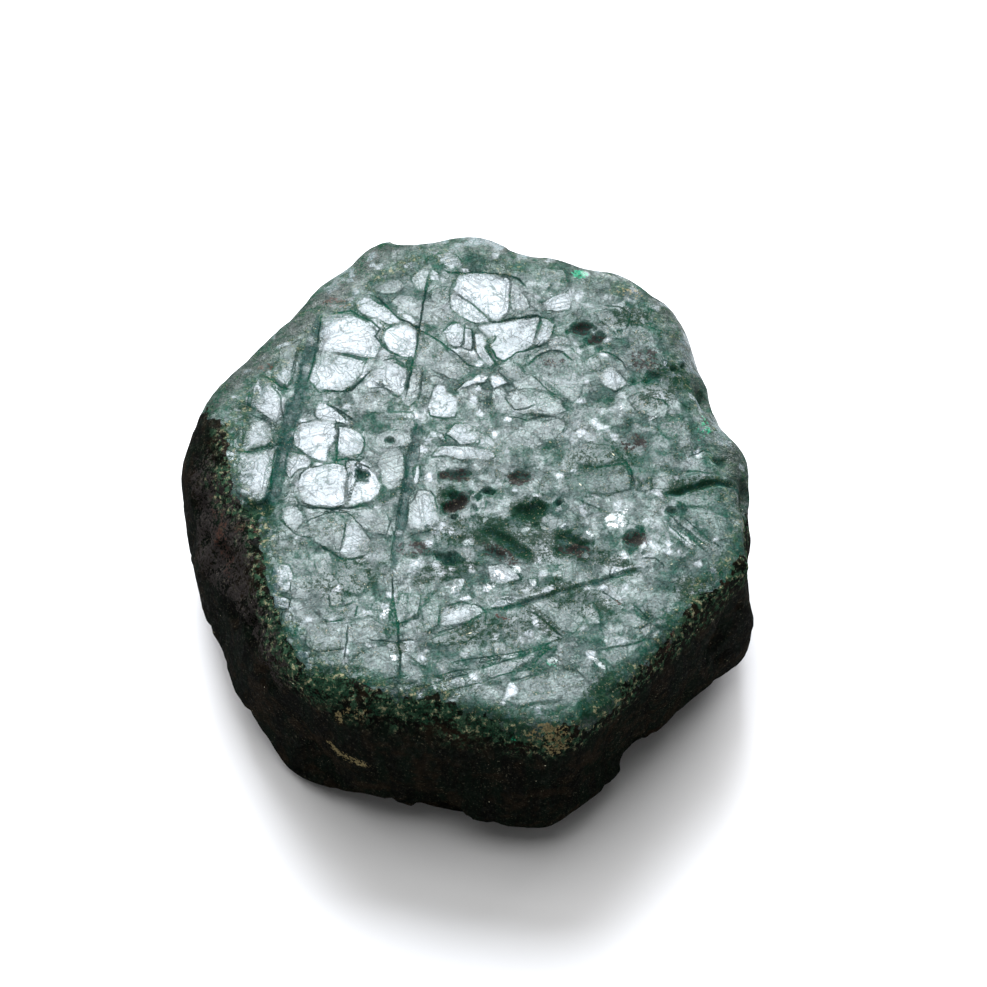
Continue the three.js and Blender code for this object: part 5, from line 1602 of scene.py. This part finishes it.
@dataclass(frozen=True)
class Wear:
    """How the worn sides take over from the top face. The pairs of numbers are ramps.

    An edge is counted inwards from the outline of the plated face, and a fade downwards from its level.
    The sides begin farther down towards the rear, by what rear_farther adds to each end of the ramp.
    """

    rear_facing: Span = (-0.15, 0.45)
    edge_wander: Lumps = ((0.35, 0.9), (0.30, 0.3))
    fade_wander: Lumps = ((0.8, 2.2), (0.4, 0.7))
    front_fade: Span = (1.0, 1.8)
    rear_farther: Span = (0.4, 4.2)
    side_edge: Span = (0.15, -0.15)
    rear_overhang: float = 3.0
    crumb_middle: float = -0.2
    crumb_reach: Span = (1.5, 0.3)
    crumb_fade: Span = (2.6, 1.4)
    bevel_fade: Span = (0.05, 0.6)
    left_light: Span = (-16.0, -10.0)
    left_shine: float = 0.8
    right_light: Span = (-6.0, 3.0)
    right_shine: float = 0.7
    bevel_dulling: float = 0.7
    gloss_fade: Span = (1.4, 3.2)
    gloss_loss: float = 0.85

    def side(self, edge: np.ndarray, fade: np.ndarray, rear: np.ndarray) -> np.ndarray:
        """Where the bare sides show, from 0 to 1.

        Args:
            edge: how far inside the plated face each point lies.
            fade: how far below it.
            rear: 1 where the surface faces the rear.

        Returns:
            One value for each point.
        """
        low, high = (end + more * rear for end, more in zip(self.front_fade, self.rear_farther))
        outside = smooth_step(*self.side_edge, edge + self.rear_overhang * rear)
        return np.maximum(outside, smooth_step(low, high, fade))

    def polished(self, polish: np.ndarray, x: np.ndarray, bevel: np.ndarray, fade: np.ndarray) -> np.ndarray:
        """The polish, duller on the rear bevels' left end and down the sides.

        Args:
            polish: the polish of the top face.
            x: where each point lies from left to right.
            bevel: how far it is on a rear bevel, from 0 to 1.
            fade: how far below the top face it lies.

        Returns:
            Polish from 0 to 1.
        """
        light = self.left_shine * smooth_step(*self.left_light, x)
        light = light + self.right_shine * smooth_step(*self.right_light, x) - self.bevel_dulling
        polish = polish * (1.0 + bevel * light)
        return np.clip(polish * (1.0 - self.gloss_loss * smooth_step(*self.gloss_fade, fade)), 0.0, 1.0)


@dataclass
class Stone:
    """The emerald itself, one closed mesh in place of its solid."""

    form: CrystalForm = field(default_factory=CrystalForm)
    finish: StoneFinish = field(default_factory=StoneFinish)
    wear: Wear = field(default_factory=Wear)
    seed: int = 5
    coarse_cuts: int = 43
    fine_cuts: int = 2
    fine_below_top: float = 2.2
    top_fade: Span = (1.7, 0.35)
    base_reach: Span = (0.9, 0.3)
    base_facing: Span = (0.6, 0.9)
    rim_start: Span = (0.0, 0.25)
    rim_end: Span = (2.4, 0.8)
    rim_bite: float = 0.16
    rim_rear: float = 0.8
    rim_lump: float = 0.8
    crumb_lift: float = 0.10
    crumb_lump: float = 0.45
    crumb_level: float = 0.4
    swell_start: Span = (0.0, 1.0)
    patch_edge: Span = (1.5, 0.4)

    def rough_out(self) -> bmesh.types.BMesh:
        """A six-sided block cut into small triangles, with the finest ones on and near the top face.

        Returns:
            The mesh on the smooth body, in millimetres with z from 0 at the base.
        """
        bm = bmesh.new()
        sides = len(self.form.faces)
        foot = max(face.girth for face in self.form.faces)
        bmesh.ops.create_cone(
            bm, cap_ends=True, cap_tris=True, segments=sides, radius1=foot, radius2=foot, depth=THICKNESS
        )
        bmesh.ops.translate(bm, verts=bm.verts, vec=(0.0, 0.0, THICKNESS / 2))
        corner = min(bm.verts, key=lambda v: -v.co.x).co
        turn = math.radians(self.form.first_face + 180 / sides) - math.atan2(corner.y, corner.x)
        bmesh.ops.rotate(bm, verts=bm.verts, cent=(0, 0, 0), matrix=Matrix.Rotation(turn, 3, "Z"))
        bmesh.ops.subdivide_edges(bm, edges=bm.edges, cuts=self.coarse_cuts, use_grid_fill=True)
        self.settle(bm)
        near_top = THICKNESS - self.fine_below_top
        fine = {e for f in bm.faces if f.calc_center_median().z > near_top for e in f.edges}
        bmesh.ops.subdivide_edges(bm, edges=list(fine), cuts=self.fine_cuts, use_grid_fill=True)
        bmesh.ops.triangulate(bm, faces=bm.faces)
        self.settle(bm)
        bmesh.ops.recalc_face_normals(bm, faces=bm.faces)
        bm.normal_update()
        return bm

    def settle(self, bm: bmesh.types.BMesh) -> None:
        """Moves every vertex on to the smooth body."""
        self.place(bm, self.form.project(np.array([v.co for v in bm.verts])))

    @staticmethod
    def place(bm: bmesh.types.BMesh, moved: np.ndarray) -> None:
        """Puts every vertex at its new position."""
        for vert, co in zip(bm.verts, moved):
            vert.co = co

    def build(self) -> bpy.types.Object:
        """Makes the stone.

        Returns:
            The finished object, with its attributes and material.
        """
        bm = self.rough_out()
        points = np.array([v.co for v in bm.verts])
        normals = np.array([v.normal for v in bm.verts])
        grain = Grain(self.seed)
        wear = self.wear
        below = THICKNESS - points[:, 2]
        rear = smooth_step(*wear.rear_facing, normals[:, 1])
        edge = grain.over(points, wear.edge_wander, inside_distance(points, TOP_EDGE))
        fade = grain.over(points, wear.fade_wander, below)
        bevel = smooth_step(*wear.bevel_fade, below)
        crumbs = smooth_step(*wear.crumb_reach, np.abs(edge - wear.crumb_middle))
        crumbs = crumbs * smooth_step(*wear.crumb_fade, below) * (1.0 - rear)
        on_top = smooth_step(*self.top_fade, below)
        height, groove, polish, lines = TopFace(grain).relief(points)
        is_base = smooth_step(*self.base_reach, points[:, 2])
        is_base = is_base * smooth_step(*self.base_facing, -normals[:, 2])
        walls = Sides(grain, self.form).relief(points)
        out = on_top * height + (1.0 - on_top) * (1.0 - is_base) * walls
        rim = smooth_step(*self.rim_start, below) * smooth_step(*self.rim_end, below)
        uneven = 0.5 + 0.5 * grain.at(points, self.rim_lump)
        out -= rim * self.rim_bite * (1.0 - self.rim_rear * rear) * uneven
        out += crumbs * self.crumb_lift * (grain.at(points, self.crumb_lump) - self.crumb_level)
        carved = points + normals * out[:, None]
        self.place(bm, self.placed(self.swollen(points, carved, below, is_base)))
        mesh = bpy.data.meshes.new("emerald_stone")
        bm.to_mesh(mesh)
        bm.free()
        mesh.shade_smooth()
        marks = {
            "groove": groove * on_top,
            "polish": wear.polished(polish, points[:, 0], bevel * rear, fade),
            "bevel": bevel,
            "side": wear.side(edge, fade, rear),
            "rim": crumbs,
            "line": lines.offset,
            "line_dark": lines.dark,
        }
        marks |= {tint.value: self.patch_strength(points, tint) for tint in Tint}
        for name, values in marks.items():
            store = mesh.attributes.new(name, "FLOAT", "POINT")
            store.data.foreach_set("value", values.astype(np.float32))
        mesh.materials.append(self.finish.material())
        made = bpy.data.objects.new("emerald_stone", mesh)
        bpy.context.scene.collection.objects.link(made)
        return made

    def swollen(
        self, points: np.ndarray, moved: np.ndarray, below: np.ndarray, is_base: np.ndarray
    ) -> np.ndarray:
        """The carved points pushed sideways by the outline's waves and swells.

        Args:
            points: positions on the smooth body.
            moved: the same points once carved.
            below: how far below the top face each lies.
            is_base: 1 on the flat base, which keeps its place.

        Returns:
            The pushed positions, between the base and the level of the top face.
        """
        sideways = np.hypot(points[:, 0], points[:, 1])
        push = self.form.wave(points) * smooth_step(*self.swell_start, below) / sideways.clip(1.0)
        moved[:, :2] += moved[:, :2] * push[:, None] * (1.0 - is_base)[:, None]
        moved[:, 2] = np.clip(moved[:, 2], 0.0, THICKNESS)
        return moved

    def placed(self, points: np.ndarray) -> np.ndarray:
        """Points brought from the drawing frame into the frame's metres, inside the solid's own box.

        Args:
            points: positions in millimetres.

        Returns:
            Positions in metres.
        """
        low, high = (np.array(corner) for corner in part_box("emerald"))
        moved = (points - np.array([*OUTLINE_CENTRE, 0.0])) * MM
        middle = (low + high) / 2
        spread = np.abs(moved - middle).max(axis=0) / (high - middle)
        log.info("reach of the stone as a share of the solid's: %s", np.round(spread, 4))
        return middle + (moved - middle) / np.maximum(spread, 1.0)

    def patch_strength(self, points: np.ndarray, tint: Tint) -> np.ndarray:
        """How strongly one tint shows at each point."""
        strength = np.zeros(len(points))
        for patch in PATCHES[tint]:
            out = ellipse_radius(points, patch.x, patch.y, patch.long, patch.wide, patch.turn)
            out = np.hypot(out, (THICKNESS - patch.below - points[:, 2]) / patch.tall)
            strength = np.maximum(strength, patch.strength * smooth_step(*self.patch_edge, out))
        return strength


@dataclass(frozen=True)
class SoftBox:
    """A soft rectangular light that faces the stone, with its brightness, colour, size and place."""

    name: str
    glow: float
    colour: Colour
    size: Span
    distance: float
    azimuth: float
    elevation: float

    def build(self) -> None:
        """Makes the light."""
        data = bpy.data.lights.new(self.name, "AREA")
        data.shape = "RECTANGLE"
        data.size, data.size_y = self.size
        data.energy = self.glow * math.pi * data.size * data.size_y
        data.color = self.colour
        made = bpy.data.objects.new(self.name, data)
        a, e = math.radians(self.azimuth), math.radians(self.elevation)
        away = Vector((math.cos(e) * math.cos(a), math.cos(e) * math.sin(a), math.sin(e)))
        made.location = Vector((0, 0, THICKNESS * MM)) + away * self.distance
        made.rotation_mode = "QUATERNION"
        made.rotation_quaternion = away.to_track_quat("Z", "Y")
        made.visible_camera = False
        bpy.context.scene.collection.objects.link(made)


@dataclass
class Studio:
    """Floor, lights and camera."""

    elevation: float = 56.0
    distance: float = 0.350
    target: Span = (1.057, -0.103)
    frame_width: float = 0.0564
    sensor: float = 36.0
    clip_start: float = 0.01
    floor_size: float = 4.0
    floor_roughness: float = 0.9
    floor_colour: Colour = (0.72, 0.72, 0.72)
    sky: Colour = (0.20, 0.20, 0.20)
    boxes: tuple[SoftBox, ...] = (
        SoftBox("key_light", 27.5, (0.895, 0.93, 0.995), (0.85, 0.80), 2.0, 98.0, 54.0),
        SoftBox("back_light", 9.5, (0.97, 0.97, 1.0), (4.2, 1.7), 2.4, 88.0, 20.0),
        SoftBox("top_light", 4.0, (1.0, 1.0, 1.0), (2.1, 2.1), 3.0, 180.0, 84.0),
    )

    def build(self) -> None:
        """Makes the floor, the lights, the sky and the camera."""
        self.floor()
        for box in self.boxes:
            box.build()
        world = bpy.data.worlds.new("sky")
        world.use_nodes = True
        background = world.node_tree.nodes["Background"]
        background.inputs["Color"].default_value = (*self.sky, 1.0)
        bpy.context.scene.world = world
        bpy.context.scene.view_settings.view_transform = "Standard"
        self.camera()

    def floor(self) -> None:
        """A plain pale floor."""
        bm = bmesh.new()
        bmesh.ops.create_grid(bm, x_segments=1, y_segments=1, size=self.floor_size / 2)
        mesh = bpy.data.meshes.new("floor")
        bm.to_mesh(mesh)
        bm.free()
        made = bpy.data.materials.new("floor")
        made.use_nodes = True
        shader = NodeTree(made.node_tree).shader()
        shader.inputs["Base Color"].default_value = (*self.floor_colour, 1.0)
        shader.inputs["Roughness"].default_value = self.floor_roughness
        shader.inputs["Specular IOR Level"].default_value = 0.0
        mesh.materials.append(made)
        floor = bpy.data.objects.new("floor", mesh)
        bpy.context.scene.collection.objects.link(floor)

    def camera(self) -> None:
        """The camera at the photograph's angle."""
        data = bpy.data.cameras.new("camera")
        data.sensor_width = self.sensor
        data.lens = self.sensor * self.distance / self.frame_width
        data.clip_start = self.clip_start
        made = bpy.data.objects.new("camera", data)
        e = math.radians(self.elevation)
        back = Vector((0.0, -math.cos(e), math.sin(e)))
        x, y = (t - c for t, c in zip(self.target, OUTLINE_CENTRE))
        made.location = Vector((x, y, THICKNESS)) * MM + back * self.distance
        made.rotation_mode = "QUATERNION"
        made.rotation_quaternion = back.to_track_quat("Z", "Y")
        bpy.context.scene.collection.objects.link(made)
        bpy.context.scene.camera = made


def main() -> None:
    """Builds the studio and the stone."""
    logging.basicConfig(level=logging.INFO, format="%(name)s: %(message)s")
    Studio().build()
    log.info("studio ready")
    stone = Stone().build()
    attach(stone, "root")
    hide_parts("emerald")
    log.info("stone ready: %d triangles", len(stone.data.polygons))


if __name__ == "__main__":
    main()
